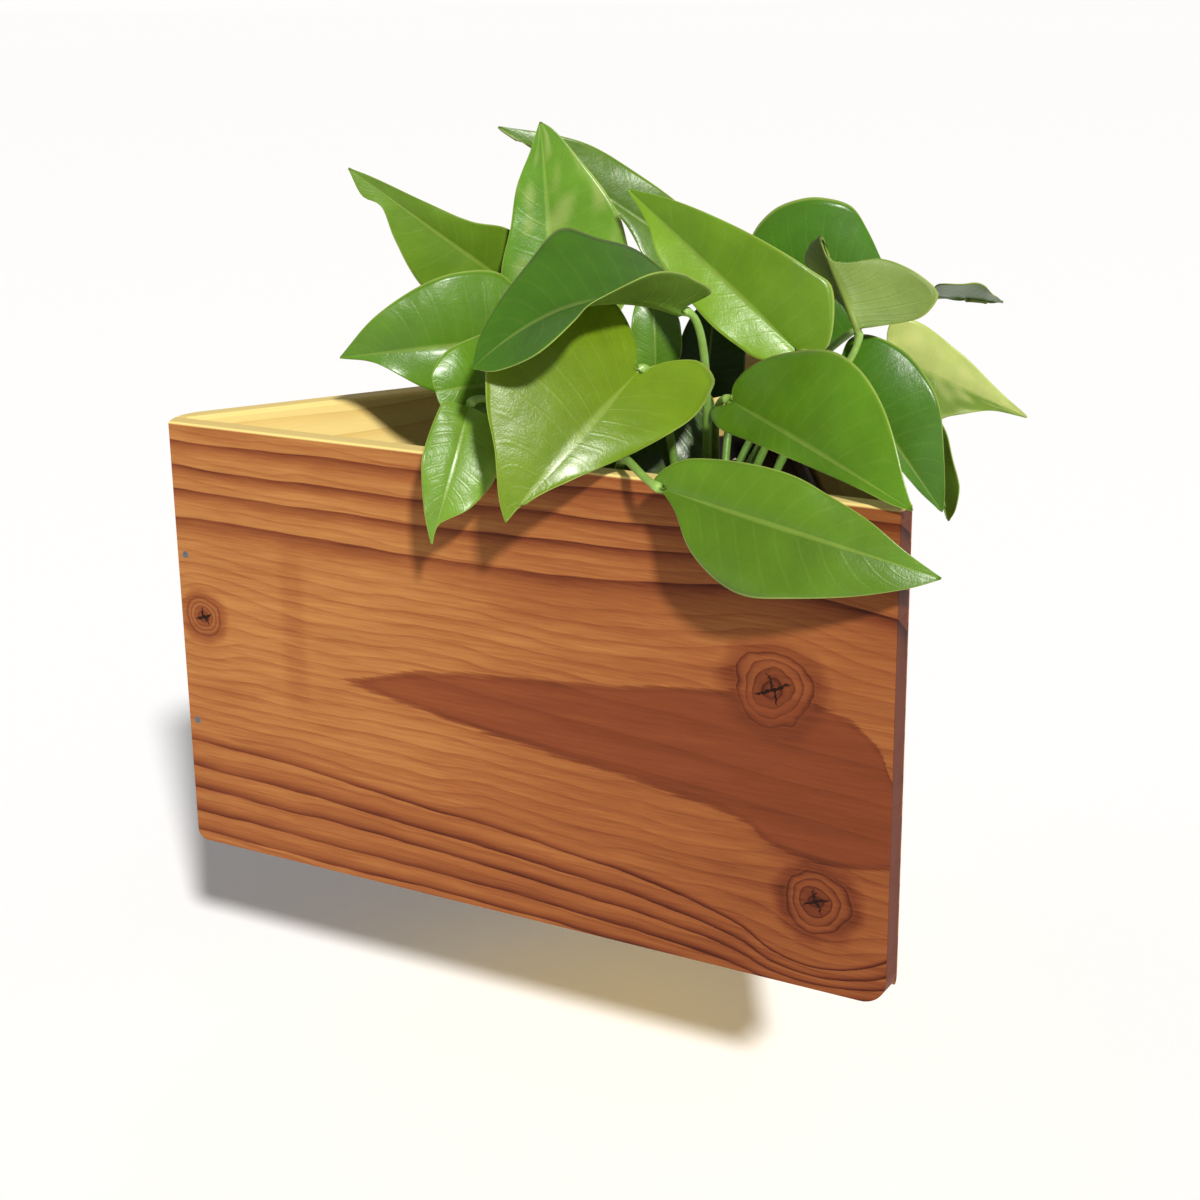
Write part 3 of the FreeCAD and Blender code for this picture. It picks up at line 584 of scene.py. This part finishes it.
def leaf_skin(name, rough, relief, coat):
    """The waxy skin of one side of a leaf: its tint comes with the mesh, its veins from its map."""
    paint = Paint(name)
    tint = paint.node("ShaderNodeAttribute", attribute_name="tint").outputs["Color"]
    share, side, _ = paint.parts(paint.node("ShaderNodeUVMap", uv_map="pattern").outputs["UV"])
    out = paint.math("ABSOLUTE", side * 2.0 - 1.0)
    cloud = paint.noise(paint.spot(), 14.0, 3.0, 0.5)
    cell = paint.noise(paint.spot(), 0.8, 3.0, 0.6)
    # A side vein leaves the midrib at a slant: it lies where share less VEIN_SLANT times out is the same.
    path = (share - out * VEIN_SLANT + cloud * 0.008) * VEINS
    vein = 1.0 - paint.step(paint.math("ABSOLUTE", paint.math("FRACT", path) - 0.5), 0.0, 0.13)
    vein = vein * (1.0 - paint.step(out, 0.7, 1.0)) * paint.step(out, 0.02, 0.1)
    rib = 1.0 - paint.step(out, 0.015, 0.06)
    shade = paint.mix(vein * 0.03 + rib * 0.22, tint, VEIN_TINT)
    shade = paint.mix(paint.step(out, 0.96, 0.995) * 0.4, shade, EDGE_TINT)
    mottle = paint.ramp(cloud * 0.5 + cell * 0.12 + 0.5, [(0.0, (206, 206, 206)), (1.0, (255, 255, 255))])
    colour = paint.mix(1.0, shade, mottle, "MULTIPLY")
    paint.bump(vein * relief + cell * 0.08 + cloud * 0.5, 0.5)
    return paint.finish(colour, rough + cell * 0.05, IOR=LEAF_IOR, Coat_Weight=coat,
                        Coat_Roughness=0.2, Subsurface_Weight=0.12, Subsurface_Scale=0.002)


def stalk_skin():
    """A faintly streaked skin for stalks and the cut stem; its tint comes with the mesh."""
    paint = Paint("pale_green_stalk")
    tint = paint.node("ShaderNodeAttribute", attribute_name="tint").outputs["Color"]
    streak = paint.noise(paint.spot(), 3.0, 3.0, 0.6)
    mottle = paint.ramp(streak * 0.5 + 0.5, [(0.0, (196, 200, 180)), (1.0, (255, 255, 255))])
    colour = paint.mix(1.0, tint, mottle, "MULTIPLY")
    paint.bump(streak, 0.15)
    return paint.finish(colour, 0.42, Subsurface_Weight=0.1, Subsurface_Scale=0.002)


# ---- the leaves
# base, tip: the midrib's ends, from the middle of the box's mouth.  roll: degrees about the midrib.  fold:
# degrees by which the left and right half are folded up.  arch: rise of the middle.  cup: droop of the edges.
# left, right: the pattern's edge, along and out from the midrib.  root: where the stalk leaves the soil.
# tints: upper side's left and right half, and underside.  fold_tip: share of the fold that is left at the
# tip.  lift: how far the stalk aims straight up, as a share of its span.  bend: how far it follows the
# midrib's line.  cream: how marbled the leaf is.
Leaf = namedtuple("Leaf", "name base tip roll fold arch cup left right root tints "
                          "fold_tip lift bend cream", defaults=(1, 0.4, 14, 0))

LEAVES = [
    Leaf("leaf_upper_left", base=(-9, 57, 40), tip=(-83, 73, 98), roll=93, fold=(12, 12), arch=4, cup=3,
         left=[(1, 19), (21, 25), (45, 22), (64, 13), (76, 5), (85, 6)],
         right=[(12, 16), (27, 19), (43, 12), (65, 7), (85, 3)], root=(14, 9),
         tints=[(100, 136, 34), (96, 130, 30), (118, 140, 48)]),
    Leaf("leaf_upright", base=(-14, 26, 32), tip=(-11, 41, 115), roll=18, fold=(12, 12), arch=-3, cup=3,
         left=[(-2, 13), (14, 21), (26, 21), (42, 16), (59, 12), (73, 5)],
         right=[(-4, 17), (14, 33), (38, 32), (51, 27), (62, 20), (79, 7)], root=(10, -3),
         tints=[(92, 140, 30), (100, 146, 36), (110, 136, 50)], cream=0.25),
    Leaf("leaf_back_high", base=(60, 26, 54), tip=(-17, 67, 112), roll=71, fold=(10, 10), arch=0, cup=2,
         left=[(1, 13), (20, 15), (39, 5), (64, 0), (90, 0)], right=[(3, 12), (25, 15), (59, 16), (81, 11)],
         root=(40, -1), tints=[(92, 128, 38), (88, 122, 34), (96, 124, 40)]),
    Leaf("leaf_left", base=(-29, 28, 29), tip=(-98, 56, 24), roll=80, fold=(10, 10), arch=5, cup=5,
         left=[(9, 18), (26, 22), (42, 16), (60, 4)],
         right=[(-2, 16), (6, 28), (22, 30), (39, 26), (59, 15)], root=(0, 0),
         tints=[(90, 134, 30), (86, 128, 28), (112, 138, 46)]),
    Leaf("leaf_curled", base=(-29, -95, 56), tip=(-105, -80, 41), roll=27, fold=(75, 5), fold_tip=0, arch=15,
         cup=0, left=[(-10, 17), (-2, 21), (15, 22), (35, 13), (48, 23), (61, 23), (73, 11)],
         right=[(-12, 20), (-6, 26), (2, 36), (17, 37), (29, 42), (46, 30), (61, 19), (73, 9)],
         root=(-7, -78), lift=0.5, tints=[(70, 116, 24), (66, 110, 22), (88, 118, 34)]),
    Leaf("leaf_lime", base=(45, -63, 30), tip=(6, 0, 90), roll=68, fold=(14, 14), arch=3, cup=2,
         left=[(7, 12), (18, 15), (36, 16), (63, 12), (78, 5)],
         right=[(-8, 10), (5, 27), (17, 27), (48, 20), (76, 10)], root=(34, -40),
         tints=[(120, 160, 36), (100, 138, 28), (120, 148, 50)]),
    Leaf("leaf_front_heart", base=(-44, -90, 35), tip=(-101, -94, -12), roll=59, fold=(8, 8), arch=5, cup=3,
         left=[(-10, 5), (-20, 14), (-20, 22), (-15, 25), (0, 26), (23, 19), (45, 9), (63, 1)],
         right=[(-8, 7), (-14, 23), (-8, 38), (11, 47), (31, 46), (47, 34), (58, 20), (69, 8)],
         root=(-13, -70), tints=[(108, 138, 22), (104, 132, 18), (116, 140, 40)]),
    Leaf("leaf_small_left", base=(-67, -34, 25), tip=(-99, -36, 25), roll=78, fold=(5, 5), arch=4, cup=6,
         left=[(5, 23), (19, 18), (30, 7)], right=[(-4, 19), (9, 19), (24, 15), (32, 7)], root=(-12, -20),
         tints=[(98, 140, 34), (92, 134, 30), (114, 144, 50)]),
    Leaf("leaf_hanging_left", base=(-90, -46, 20), tip=(-112, -56, -27), roll=40, fold=(10, 10), arch=4,
         cup=3, left=[(4, 13), (18, 15), (25, 16), (37, 10), (45, 1)],
         right=[(1, 9), (6, 11), (19, 12), (28, 11), (42, 6)], root=(-24, -32),
         tints=[(112, 150, 44), (104, 142, 40), (116, 144, 50)]),
    Leaf("leaf_small_inner", base=(20, 2, 11), tip=(22, 8, 47), roll=6, fold=(8, 8), arch=3, cup=3,
         left=[(7, 10), (21, 10), (32, 7)], right=[(8, 10), (22, 11), (31, 7)], root=(24, -14),
         tints=[(90, 132, 36), (84, 126, 32), (100, 130, 40)]),
    # Painted shade: this leaf deep in the box is tinted far darker than the rest.
    Leaf("leaf_dark_inner", base=(39, -6, 2), tip=(48, 0, 42), roll=-21, fold=(8, 8), arch=3, cup=3,
         left=[(5, 10), (21, 13), (36, 8)], right=[(6, 14), (22, 15), (35, 9)], root=(33, -18),
         tints=[(36, 66, 14), (34, 62, 14), (56, 84, 26)]),
    Leaf("leaf_round_back", base=(91, 19, 36), tip=(135, -9, 42), roll=-81, fold=(8, 8), arch=4, cup=4,
         left=[(-9, 18), (-6, 30), (4, 39), (16, 42), (26, 41), (37, 36), (43, 25), (48, 11)],
         right=[(5, 16), (24, 22), (43, 12)], root=(54, 2),
         tints=[(68, 116, 24), (62, 108, 22), (84, 120, 36)]),
    Leaf("leaf_folded_pale", base=(73, -65, 36), tip=(62, -54, 73), roll=-101, fold=(5, 60), arch=2, cup=3,
         left=[(-2, 9), (-5, 24), (-1, 33), (4, 34), (14, 28), (22, 19), (24, 10), (22, 0)],
         right=[(9, 3), (17, 10), (31, 19), (38, 10)], root=(46, -38),
         tints=[(88, 128, 40), (84, 122, 36), (116, 140, 60)]),
    Leaf("leaf_sliver_right", base=(137, -28, 40), tip=(171, -38, 35), roll=-154, fold=(5, 5), arch=0, cup=1,
         left=[(-1, 17), (8, 21), (19, 18)], right=[(6, 4), (18, 0), (29, 0)], root=(50, -8),
         tints=[(78, 112, 32), (74, 108, 30), (96, 120, 46)]),
    Leaf("leaf_cream", base=(117, -26, 16), tip=(178, -49, -14), roll=-88, fold=(15, 15), arch=3, cup=2,
         left=[(-4, 14), (7, 19), (29, 14), (53, 6)], right=[(13, 20), (28, 21), (37, 13), (53, 4)],
         root=(46, -18), tints=[(176, 190, 104), (104, 132, 46), (130, 150, 70)], cream=0.3),
    Leaf("leaf_right", base=(72, -53, 21), tip=(102, -86, -38), roll=-75, fold=(10, 10), arch=6, cup=4,
         left=[(-5, 10), (-1, 18), (12, 25), (27, 26), (39, 23), (53, 15), (67, 6)],
         right=[(3, 4), (21, 4), (41, 4), (60, 3)], root=(42, -28),
         tints=[(66, 112, 22), (70, 116, 24), (90, 120, 40)]),
    Leaf("leaf_right_centre", base=(-15, -107, 24), tip=(-3, -197, 1), roll=-61, fold=(10, 18), arch=9,
         cup=4, left=[(-3, 5), (0, 12), (10, 21), (24, 28), (39, 33), (52, 32), (66, 26), (77, 18), (88, 6)],
         right=[(-7, 7), (6, 11), (25, 9), (51, 6), (76, 3), (87, 2)], root=(14, -54),
         tints=[(90, 134, 26), (84, 126, 24), (108, 138, 44)]),
    Leaf("leaf_front_low", base=(-59, -132, 2), tip=(-2, -212, -19), roll=-71, fold=(10, 10), arch=7, cup=5,
         left=[(-5, 1), (-2, 7), (6, 13), (24, 17), (43, 18), (58, 15), (73, 11), (87, 5)],
         right=[(3, 3), (8, 7), (17, 17), (29, 24), (41, 26), (56, 22), (75, 15), (91, 7)], root=(-40, -67),
         lift=0.85, bend=16, tints=[(90, 128, 28), (84, 120, 24), (104, 132, 42)]),
    Leaf("leaf_curl_right", base=(110, -54, 9), tip=(117, -72, -47), roll=-98, fold=(5, 5), arch=0, cup=0,
         left=[(13, 7), (26, 12), (41, 11), (48, 10), (55, 6)], right=[(20, 0), (34, 0), (47, 0), (54, 0)],
         root=(58, -26), lift=0.65, tints=[(68, 104, 28), (64, 100, 26), (92, 120, 42)]),
    # Painted shade: this leaf's tints are drawn dark for the shade it sits in.
    Leaf("leaf_shaded_front", base=(-4, -62, 22), tip=(-42, -59, -9), roll=64, fold=(8, 8), arch=3, cup=3,
         left=[(-2, 11), (9, 20), (19, 24), (35, 17), (44, 8)], right=[(10, 4), (31, 8)], root=(18, -42),
         tints=[(52, 80, 14), (48, 76, 14), (66, 90, 24)]),
]

MOUTH = np.array([0.0, -INRADIUS, RIM_Z])
UP = np.array([0.0, 0.0, 1.0])
BLADE_ROWS, STALK_ROWS, COLUMNS = 64, 26, 12
NECK = STALK_DIAMETER * 0.35
MIN_HALF_WIDTH = 20.0
# Rows crowd towards the base of the blade by this power.
ROW_POWER = 1.12
WAVE_HEIGHT, WAVES = 0.8, 2.6
QUILT_HEIGHT = 0.05
GROOVE_DEPTH, GROOVE_WIDTH = 0.35, 1.3
RIB_DEPTH, RIB_WIDTH = 0.9, 1.1
# The stalk's swelling below the blade: how much thicker, where along the stalk and how long.
SWELL, SWELL_PLACE, SWELL_LENGTH = 0.35, 0.95, 0.04
STALK_FOOT, STALK_TAPER = 1.08, 0.3
UPPER_SKIN, UNDER_SKIN, STALK_SKIN = 0, 1, 2


def unit(vector):
    return vector / np.linalg.norm(vector)


def through(points, shares):
    """A smooth curve through points, each piece a cubic whose slopes come from its neighbours."""
    points = np.asarray(points, float)
    padded = np.vstack([2 * points[0] - points[1], points, 2 * points[-1] - points[-2]])
    gaps = np.linalg.norm(np.diff(points, axis=0), axis=1)
    knots = np.concatenate([[0.0], np.cumsum(gaps)]) / gaps.sum()
    piece = np.clip(np.searchsorted(knots, shares, side="right") - 1, 0, len(points) - 2)
    t = ((shares - knots[piece]) / (knots[piece + 1] - knots[piece]))[:, None]
    before, start, end, after = (padded[piece + n] for n in range(4))
    return start + 0.5 * t * (end - before + t * (2 * before - 5 * start + 4 * end - after
                              + t * (3 * (start - end) + after - before)))


def leaf_frame(leaf):
    """The blade's base, its length, and its directions along, left and up."""
    base, tip = MOUTH + leaf.base, MOUTH + leaf.tip
    along = unit(tip - base)
    level = unit(UP - along * along[2])
    roll = math.radians(leaf.roll)
    up = level * math.cos(roll) + np.cross(level, along) * math.sin(roll)
    return base, np.linalg.norm(tip - base), along, np.cross(up, along), up


def blade_sheet(leaf, setting):
    """The blade's middle surface on a grid: share s from base to tip, and t from -1 right to 1 left.

    A flat point lies |t| of the way from the midrib to the pattern's edge.  It is folded up by the
    half's angle, lifted by the arch 4 s (1 - s), and lowered by the cup (out / width) squared.  Small
    waves along the edge and a shallow quilting between the veins are added along the blade's up."""
    base, length, along, left, up = setting
    s = np.linspace(0, 1, BLADE_ROWS + 1) ** ROW_POWER
    t = np.linspace(1, -1, 2 * COLUMNS + 1)
    on_left, part = t >= 0, np.abs(t)
    hand = np.where(on_left, 1, -1)
    left_edge, right_edge = (through([(0, NECK)] + edge + [(length, NECK / 4)], s)
                             for edge in (leaf.left, leaf.right))
    x = length * s[:, None] * (1 - part) + np.where(on_left, left_edge[:, :1], right_edge[:, :1]) * part
    out = np.where(on_left, left_edge[:, 1:], right_edge[:, 1:]) * part
    share = np.clip(x / length, 0, 1)
    left_fold, right_fold = (angle + (angle * leaf.fold_tip - angle) * share for angle in leaf.fold)
    fold = np.radians(np.where(on_left, left_fold, right_fold))
    left_width, right_width = (max([MIN_HALF_WIDTH] + [from_rib for _, from_rib in edge])
                               for edge in (leaf.left, leaf.right))
    bow = leaf.arch * 4 * x / length * np.where(x > 0, 1 - x / length, 1)
    rise = bow + out * np.sin(fold) - leaf.cup * (out / np.where(on_left, left_width, right_width)) ** 2
    shift = len(leaf.name) + leaf.roll
    wave = WAVE_HEIGHT * np.sin(2 * math.pi * (WAVES * s[:, None] + 0.13 * hand) + shift) * part ** 3
    wave = wave * np.sin(math.pi * s[:, None]) ** 0.5
    quilt = np.cos(2 * math.pi * VEINS * (s[:, None] - VEIN_SLANT * part)) * part * (1 - part) * 4
    groove = -GROOVE_DEPTH * np.exp(-(out / GROOVE_WIDTH) ** 2) * (1 - share)
    rise = rise + wave + QUILT_HEIGHT * quilt * np.minimum(out / 6, 1) + groove
    spots = (base + x[..., None] * along + (hand * out * np.cos(fold))[..., None] * left
             + rise[..., None] * up)
    return spots, s, t, out


def blade_rings(leaf, setting):
    """Rings round the blade: its upper side from left to right, then its underside back again."""
    spots, s, t, out = blade_sheet(leaf, setting)
    ahead = np.gradient(spots, axis=0)
    across = np.gradient(spots, axis=1)
    normal = np.cross(across, ahead)
    normal /= np.maximum(np.linalg.norm(normal, axis=2, keepdims=True), 1e-9)
    normal *= np.where((normal @ setting[4]).mean() < 0, -1, 1)
    thick = LEAF_THICKNESS * (0.35 + 0.65 * (1 - np.abs(t)[None, :] ** 4))
    rib = RIB_DEPTH * np.exp(-(out / RIB_WIDTH) ** 2) * (1 - 0.85 * s[:, None])
    under = spots - normal * (thick + rib)[..., None]
    rings = np.concatenate([spots, under[:, ::-1]], axis=1)
    side = np.concatenate([t, t[::-1]])
    return rings, s, side


def stalk_rings(leaf, setting):
    """Rings round the stalk, whose line is a cubic from the soil that runs into the midrib.

    The radius tapers upwards and swells at the joint with the blade."""
    base, _, along, left, _ = setting
    foot = np.array([leaf.root[0], leaf.root[1] - INRADIUS, SOIL_Z - 1.0])
    reach = np.linalg.norm(base - foot)
    poles = np.array([foot, foot + UP * reach * leaf.lift, base - along * leaf.bend, base])
    shares = np.linspace(1, 0, STALK_ROWS + 1)[1:]
    count = 2 * (2 * COLUMNS + 1)
    angle = math.pi * (np.arange(count) + 0.5) / (count / 2)
    rings = []
    for share in shares:
        rest = 1 - share
        spot = (poles[0] * rest ** 3 + 3 * poles[1] * rest ** 2 * share
                + 3 * poles[2] * rest * share ** 2 + poles[3] * share ** 3)
        line = unit(3 * rest ** 2 * (poles[1] - poles[0]) + 6 * rest * share * (poles[2] - poles[1])
                    + 3 * share ** 2 * (poles[3] - poles[2]))
        left = unit(left - line * (left @ line))
        up = np.cross(line, left)
        joint = SWELL * math.exp(-((share - SWELL_PLACE) / SWELL_LENGTH) ** 2)
        radius = STALK_DIAMETER / 2 * (STALK_FOOT - STALK_TAPER * share + joint)
        rings.append(spot + radius * (np.cos(angle)[:, None] * left + np.sin(angle)[:, None] * up))
    return np.array(rings[::-1]), shares[::-1]


def marbling(leaf, s, side):
    """How cream each place of the upper side is: slanting streaks from low sines, 0 to 1."""
    slant = s[:, None] - 0.22 * np.abs(side)
    streak = (np.sin(17.0 * slant + leaf.roll) + np.sin(41.0 * slant + 6.0 * side)
              + 1.4 * np.cos(9.0 * side + 3.0 * s[:, None]))
    return leaf.cream * np.clip(streak * 0.35, 0, 1)


def mesh_of(name, points, faces, materials, which=None):
    """A smooth-shaded piece from millimetre points, turned outwards if its volume is negative."""
    mesh = bpy.data.meshes.new(name)
    mesh.from_pydata((np.asarray(points) * MM).tolist(), [], [list(face) for face in faces])
    for material in materials:
        mesh.materials.append(material)
    if which is not None:
        mesh.polygons.foreach_set("material_index", np.asarray(which, dtype=np.int32))
    mesh.polygons.foreach_set("use_smooth", np.ones(len(mesh.polygons), dtype=bool))
    mesh.update()
    mesh.calc_loop_triangles()
    corners = np.empty(3 * len(mesh.loop_triangles), dtype=np.int32)
    mesh.loop_triangles.foreach_get("vertices", corners)
    a, b, c = (np.asarray(points)[corners.reshape(-1, 3)[:, n]] for n in range(3))
    if np.einsum("ij,ij->i", a, np.cross(b, c)).sum() < 0:
        mesh.flip_normals()
    piece = bpy.data.objects.new(name, mesh)
    bpy.context.scene.collection.objects.link(piece)
    return piece


def paint_points(mesh, name, colours):
    """A linear colour on every point."""
    layer = mesh.attributes.new(name, "FLOAT_COLOR", "POINT")
    layer.data.foreach_set("color", np.asarray(colours, dtype=np.float32).ravel())


def map_points(mesh, u, v):
    """A map called pattern, from a pair of values on every point."""
    layer = mesh.uv_layers.new(name="pattern")
    corner = np.empty(len(mesh.loops), dtype=np.int32)
    mesh.loops.foreach_get("vertex_index", corner)
    layer.data.foreach_set("uv", np.stack([u[corner], v[corner]], axis=1).astype(np.float32).ravel())


def leaf_colours(leaf, s, side):
    """Tints of the blade's points: the two halves of the upper side, the darker one with painted shade,
    marbled, and the underside.
    """
    over = side.size // 2
    left_tint, right_tint, under_tint = map(rgb, leaf.tints)
    # Where the two halves' tints differ, the darker half carries painted shade.
    halves = np.where(side[None, :, None] > 0, left_tint, right_tint)
    upper = np.repeat(halves, len(s), axis=0)
    cream = marbling(leaf, s, side)[..., None]
    upper = upper * (1 - cream) + np.array(rgb(CREAM_TINT)) * cream
    deep = 1 - 0.14 * np.sin(math.pi * s)[:, None, None] * (1 - np.abs(side))[None, :, None]
    upper = upper * deep
    upper[:, over:] = under_tint
    upper[..., 3] = 1.0
    return upper


def build_leaf(leaf, skins):
    """One leaf: its stalk's rings run on into its blade's, and each end is closed by a flat face."""
    setting = leaf_frame(leaf)
    blade, s, side = blade_rings(leaf, setting)
    stalk, share = stalk_rings(leaf, setting)
    rings = np.concatenate([stalk, blade])
    rows, count = rings.shape[:2]
    faces = tube_faces(rows, count)
    row, step = faces[:, 0] // count, faces[:, 0] % count
    which = np.where(step < count // 2, UPPER_SKIN, UNDER_SKIN)
    which = np.where(row < len(stalk) - 1, STALK_SKIN, which)
    caps = [list(range(count)), list(range((rows - 1) * count, rows * count))[::-1]]
    faces = faces.tolist() + caps
    which = np.concatenate([which, [STALK_SKIN, UPPER_SKIN]])
    piece = mesh_of(leaf.name + "_skin", rings.reshape(-1, 3), faces, skins, which)
    pale, deep = np.array(rgb(STALK_PALE)), np.array(rgb(STALK_DEEP))
    stalk_tint = deep + (pale - deep) * share[:, None]
    tints = np.concatenate([np.repeat(stalk_tint[:, None], count, axis=1),
                            leaf_colours(leaf, s, side)])
    paint_points(piece.data, "tint", tints.reshape(-1, 4))
    u = np.concatenate([np.zeros(len(stalk)), s])[:, None].repeat(count, axis=1)
    v = np.concatenate([np.full((len(stalk), count), 0.5), np.repeat(0.5 + side[None] / 2, len(s), axis=0)])
    map_points(piece.data, u.ravel(), v.ravel())
    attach(piece, "planting")
    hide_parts(leaf.name)


# ---- soil and stump
SOIL_SIDES, SOIL_RINGS = 360, 90
# Value noise of the soil's top: height and width of its lumps.
SOIL_LUMPS = [(1.1, 17.0), (0.8, 5.3), (0.45, 2.2)]
CHIP_COUNT, GRIT_SHARE = 420, 0.22
GRIT_SIZES, BARK_SIZES = (0.8, 1.7), (1.2, 3.6)
BALL_SIDES, BALL_RINGS = 6, 5
STUMP_SIDES, STUMP_RINGS = 32, 24
FAR = 1e9


def hashed(cells):
    """A repeatable number from 0 to 1 for each whole-number cell."""
    mixed = np.sin(cells[..., 0] * 127.1 + cells[..., 1] * 311.7) * 43758.5453
    return mixed - np.floor(mixed)


def lumpy(x, y, size):
    """Value noise from -1 to 1: numbers on a square lattice, blended with 3 f^2 - 2 f^3."""
    spot = np.stack([x, y], axis=-1) / size
    cell = np.floor(spot)
    f = spot - cell
    f = f * f * (3 - 2 * f)
    corner = [[hashed(cell + np.array([i, j])) for j in (0, 1)] for i in (0, 1)]
    near = corner[0][0] * (1 - f[..., 1]) + corner[0][1] * f[..., 1]
    far = corner[1][0] * (1 - f[..., 1]) + corner[1][1] * f[..., 1]
    return 2 * (near * (1 - f[..., 0]) + far * f[..., 0]) - 1


def in_millimetres(corners):
    """A box's two corners, turned from metres into millimetres."""
    return [np.array(corner) / MM for corner in corners]


def soil_edge(angle, inset):
    """Distance from the middle to the soil's edge: the nearest of its three sides and cut corners."""
    low, high = in_millimetres(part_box("potting_soil"))
    sides = INRADIUS + high[1] - inset
    cut = -(low[1] + INRADIUS) - inset
    reach = np.full_like(angle, FAR)
    for turn, distance in ((90, sides), (210, sides), (330, sides), (30, cut), (150, cut), (270, cut)):
        facing = np.cos(angle - math.radians(turn))
        reach = np.minimum(reach, np.where(facing > 0.05, distance / np.maximum(facing, 0.05), FAR))
    return reach


def build_soil():
    """The soil: rings from the middle out to the edge, lumpy on top, then straight down the liner."""
    low, high = in_millimetres(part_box("potting_soil"))
    angle = around(SOIL_SIDES)
    rings = []
    for share in np.linspace(0.01, 1, SOIL_RINGS):
        reach = soil_edge(angle, 0.2) * share
        x, y = np.cos(angle) * reach, np.sin(angle) * reach
        rise = sum(swell * lumpy(x, y, size) for swell, size in SOIL_LUMPS) - 0.6
        rings.append(np.stack([x, y - INRADIUS, high[2] + rise * min(1, (1 - share) * 12 + 0.3)], axis=1))
    foot = rings[-1].copy()
    foot[:, 2] = low[2]
    centre = foot * 0.02 + np.array([0, -INRADIUS, low[2]]) * 0.98
    rings = np.array(rings + [foot, centre])
    faces = closed_tube(*rings.shape[:2])
    piece = mesh_of("soil_surface", rings.reshape(-1, 3), faces, [potting_mix()])
    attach(piece, "planting")
    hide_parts("potting_soil")


def build_chips():
    """Bark chips and grit on the soil: each is a squashed ball of a few rings, turned at random."""
    amount = CHIP_COUNT
    angle, height = np.meshgrid(around(BALL_SIDES), np.linspace(0.12, 0.88, BALL_RINGS) * math.pi)
    ball = np.stack([np.cos(angle) * np.sin(height), np.sin(angle) * np.sin(height), np.cos(height)],
                    axis=-1).reshape(-1, 3)
    heading = rng.uniform(0, 2 * math.pi, amount)
    reach = soil_edge(heading, 5.0) * np.sqrt(rng.uniform(0.0, 1.0, amount))
    grit = rng.uniform(size=amount) < GRIT_SHARE
    size = np.where(grit, rng.uniform(*GRIT_SIZES, amount), rng.uniform(*BARK_SIZES, amount))
    stretch = np.stack([size, size * rng.uniform(0.5, 0.9, amount), size * rng.uniform(0.3, 0.6, amount)], 1)
    turn = rng.uniform(0, math.pi, amount)
    cosine, sine = np.cos(turn)[:, None], np.sin(turn)[:, None]
    knobbly = 1 + 0.25 * rng.uniform(-1, 1, (amount, len(ball), 1))
    lumps = ball[None] * knobbly * stretch[:, None]
    x = lumps[..., 0] * cosine - lumps[..., 1] * sine + (np.cos(heading) * reach)[:, None]
    y = lumps[..., 0] * sine + lumps[..., 1] * cosine + (np.sin(heading) * reach)[:, None] - INRADIUS
    z = lumps[..., 2] + SOIL_Z - 0.2
    faces = closed_tube(BALL_RINGS, BALL_SIDES)
    every = [[corner + n * len(ball) for corner in face] for n in range(amount) for face in faces]
    piece = mesh_of("bark_chips", np.stack([x, y, z], -1).reshape(-1, 3), every, [chip_mix()])
    piece.data.polygons.foreach_set("use_smooth", np.zeros(len(piece.data.polygons), dtype=bool))
    kind = np.repeat(grit, len(ball)).astype(float)
    paint_points(piece.data, "lump_kind", np.stack([kind, kind, kind, np.ones_like(kind)], 1))
    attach(piece, "planting")


def build_stump():
    """The cut stem: rings that swell by sines of the height and the angle, narrower at the brown top."""
    low, high = in_millimetres(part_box("cut_stem"))
    middle = (low + high) / 2
    radius = (high[0] - low[0]) / 2
    share, angle = np.linspace(0, 1, STUMP_RINGS), around(STUMP_SIDES)
    swell = 1 + 0.06 * np.sin(share * 9)[:, None] + 0.04 * np.sin(3 * angle)[None]
    swell = swell * np.where(share > 0.985, 0.8, 0.94)[:, None]
    rings = np.stack([middle[0] + radius * swell * np.cos(angle), middle[1] + radius * swell * np.sin(angle),
                      (low[2] + (high[2] - low[2]) * share)[:, None] + 0 * angle], axis=-1)
    faces = closed_tube(STUMP_RINGS, STUMP_SIDES)
    piece = mesh_of("cut_stem_skin", rings.reshape(-1, 3), faces, [stalk_skin()])
    green, brown = np.array(rgb(STUMP_GREEN)), np.array(rgb(STUMP_BROWN))
    mix = np.clip((share - 0.82) * 6, 0, 1)[:, None]
    tint = green * (1 - mix) + brown * mix
    paint_points(piece.data, "tint", np.repeat(tint[:, None], STUMP_SIDES, axis=1).reshape(-1, 4))
    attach(piece, "planting")
    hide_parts("cut_stem")


# ---- dressing
def dress(name, material):
    """Give a solid part its finish."""
    part = nodes[name]
    part.data.materials.clear()
    part.data.materials.append(material)


dress("front_board", front_wood())
dress("side_board", plain_wood("stained_side_board", SIDE_TURN, 12.5, "stained", "shaded", 3.0))
dress("back_board", plain_wood("back_board_wood", BACK_TURN, 15.0, "stained", "bare", 8.0))
hidden = plain_wood("plain_inner_wood", BACK_TURN, 9.0, "bare", "bare", 20.0)
for name in ("base_board", "front_cleat", "side_cleat", "back_cleat", "front_corner_block",
             "wall_corner_block"):
    dress(name, hidden)
dress("corner_brads", brad_steel())
dress("liner", liner_plastic())

# In the order of UPPER_SKIN, UNDER_SKIN and STALK_SKIN.
leaf_skins = [leaf_skin("leaf_upper_skin", rough=0.3, relief=0.08, coat=0.1),
              leaf_skin("leaf_underside", rough=0.5, relief=-0.2, coat=0.0), stalk_skin()]
for leaf in LEAVES:
    build_leaf(leaf, leaf_skins)
build_soil()
build_chips()
build_stump()
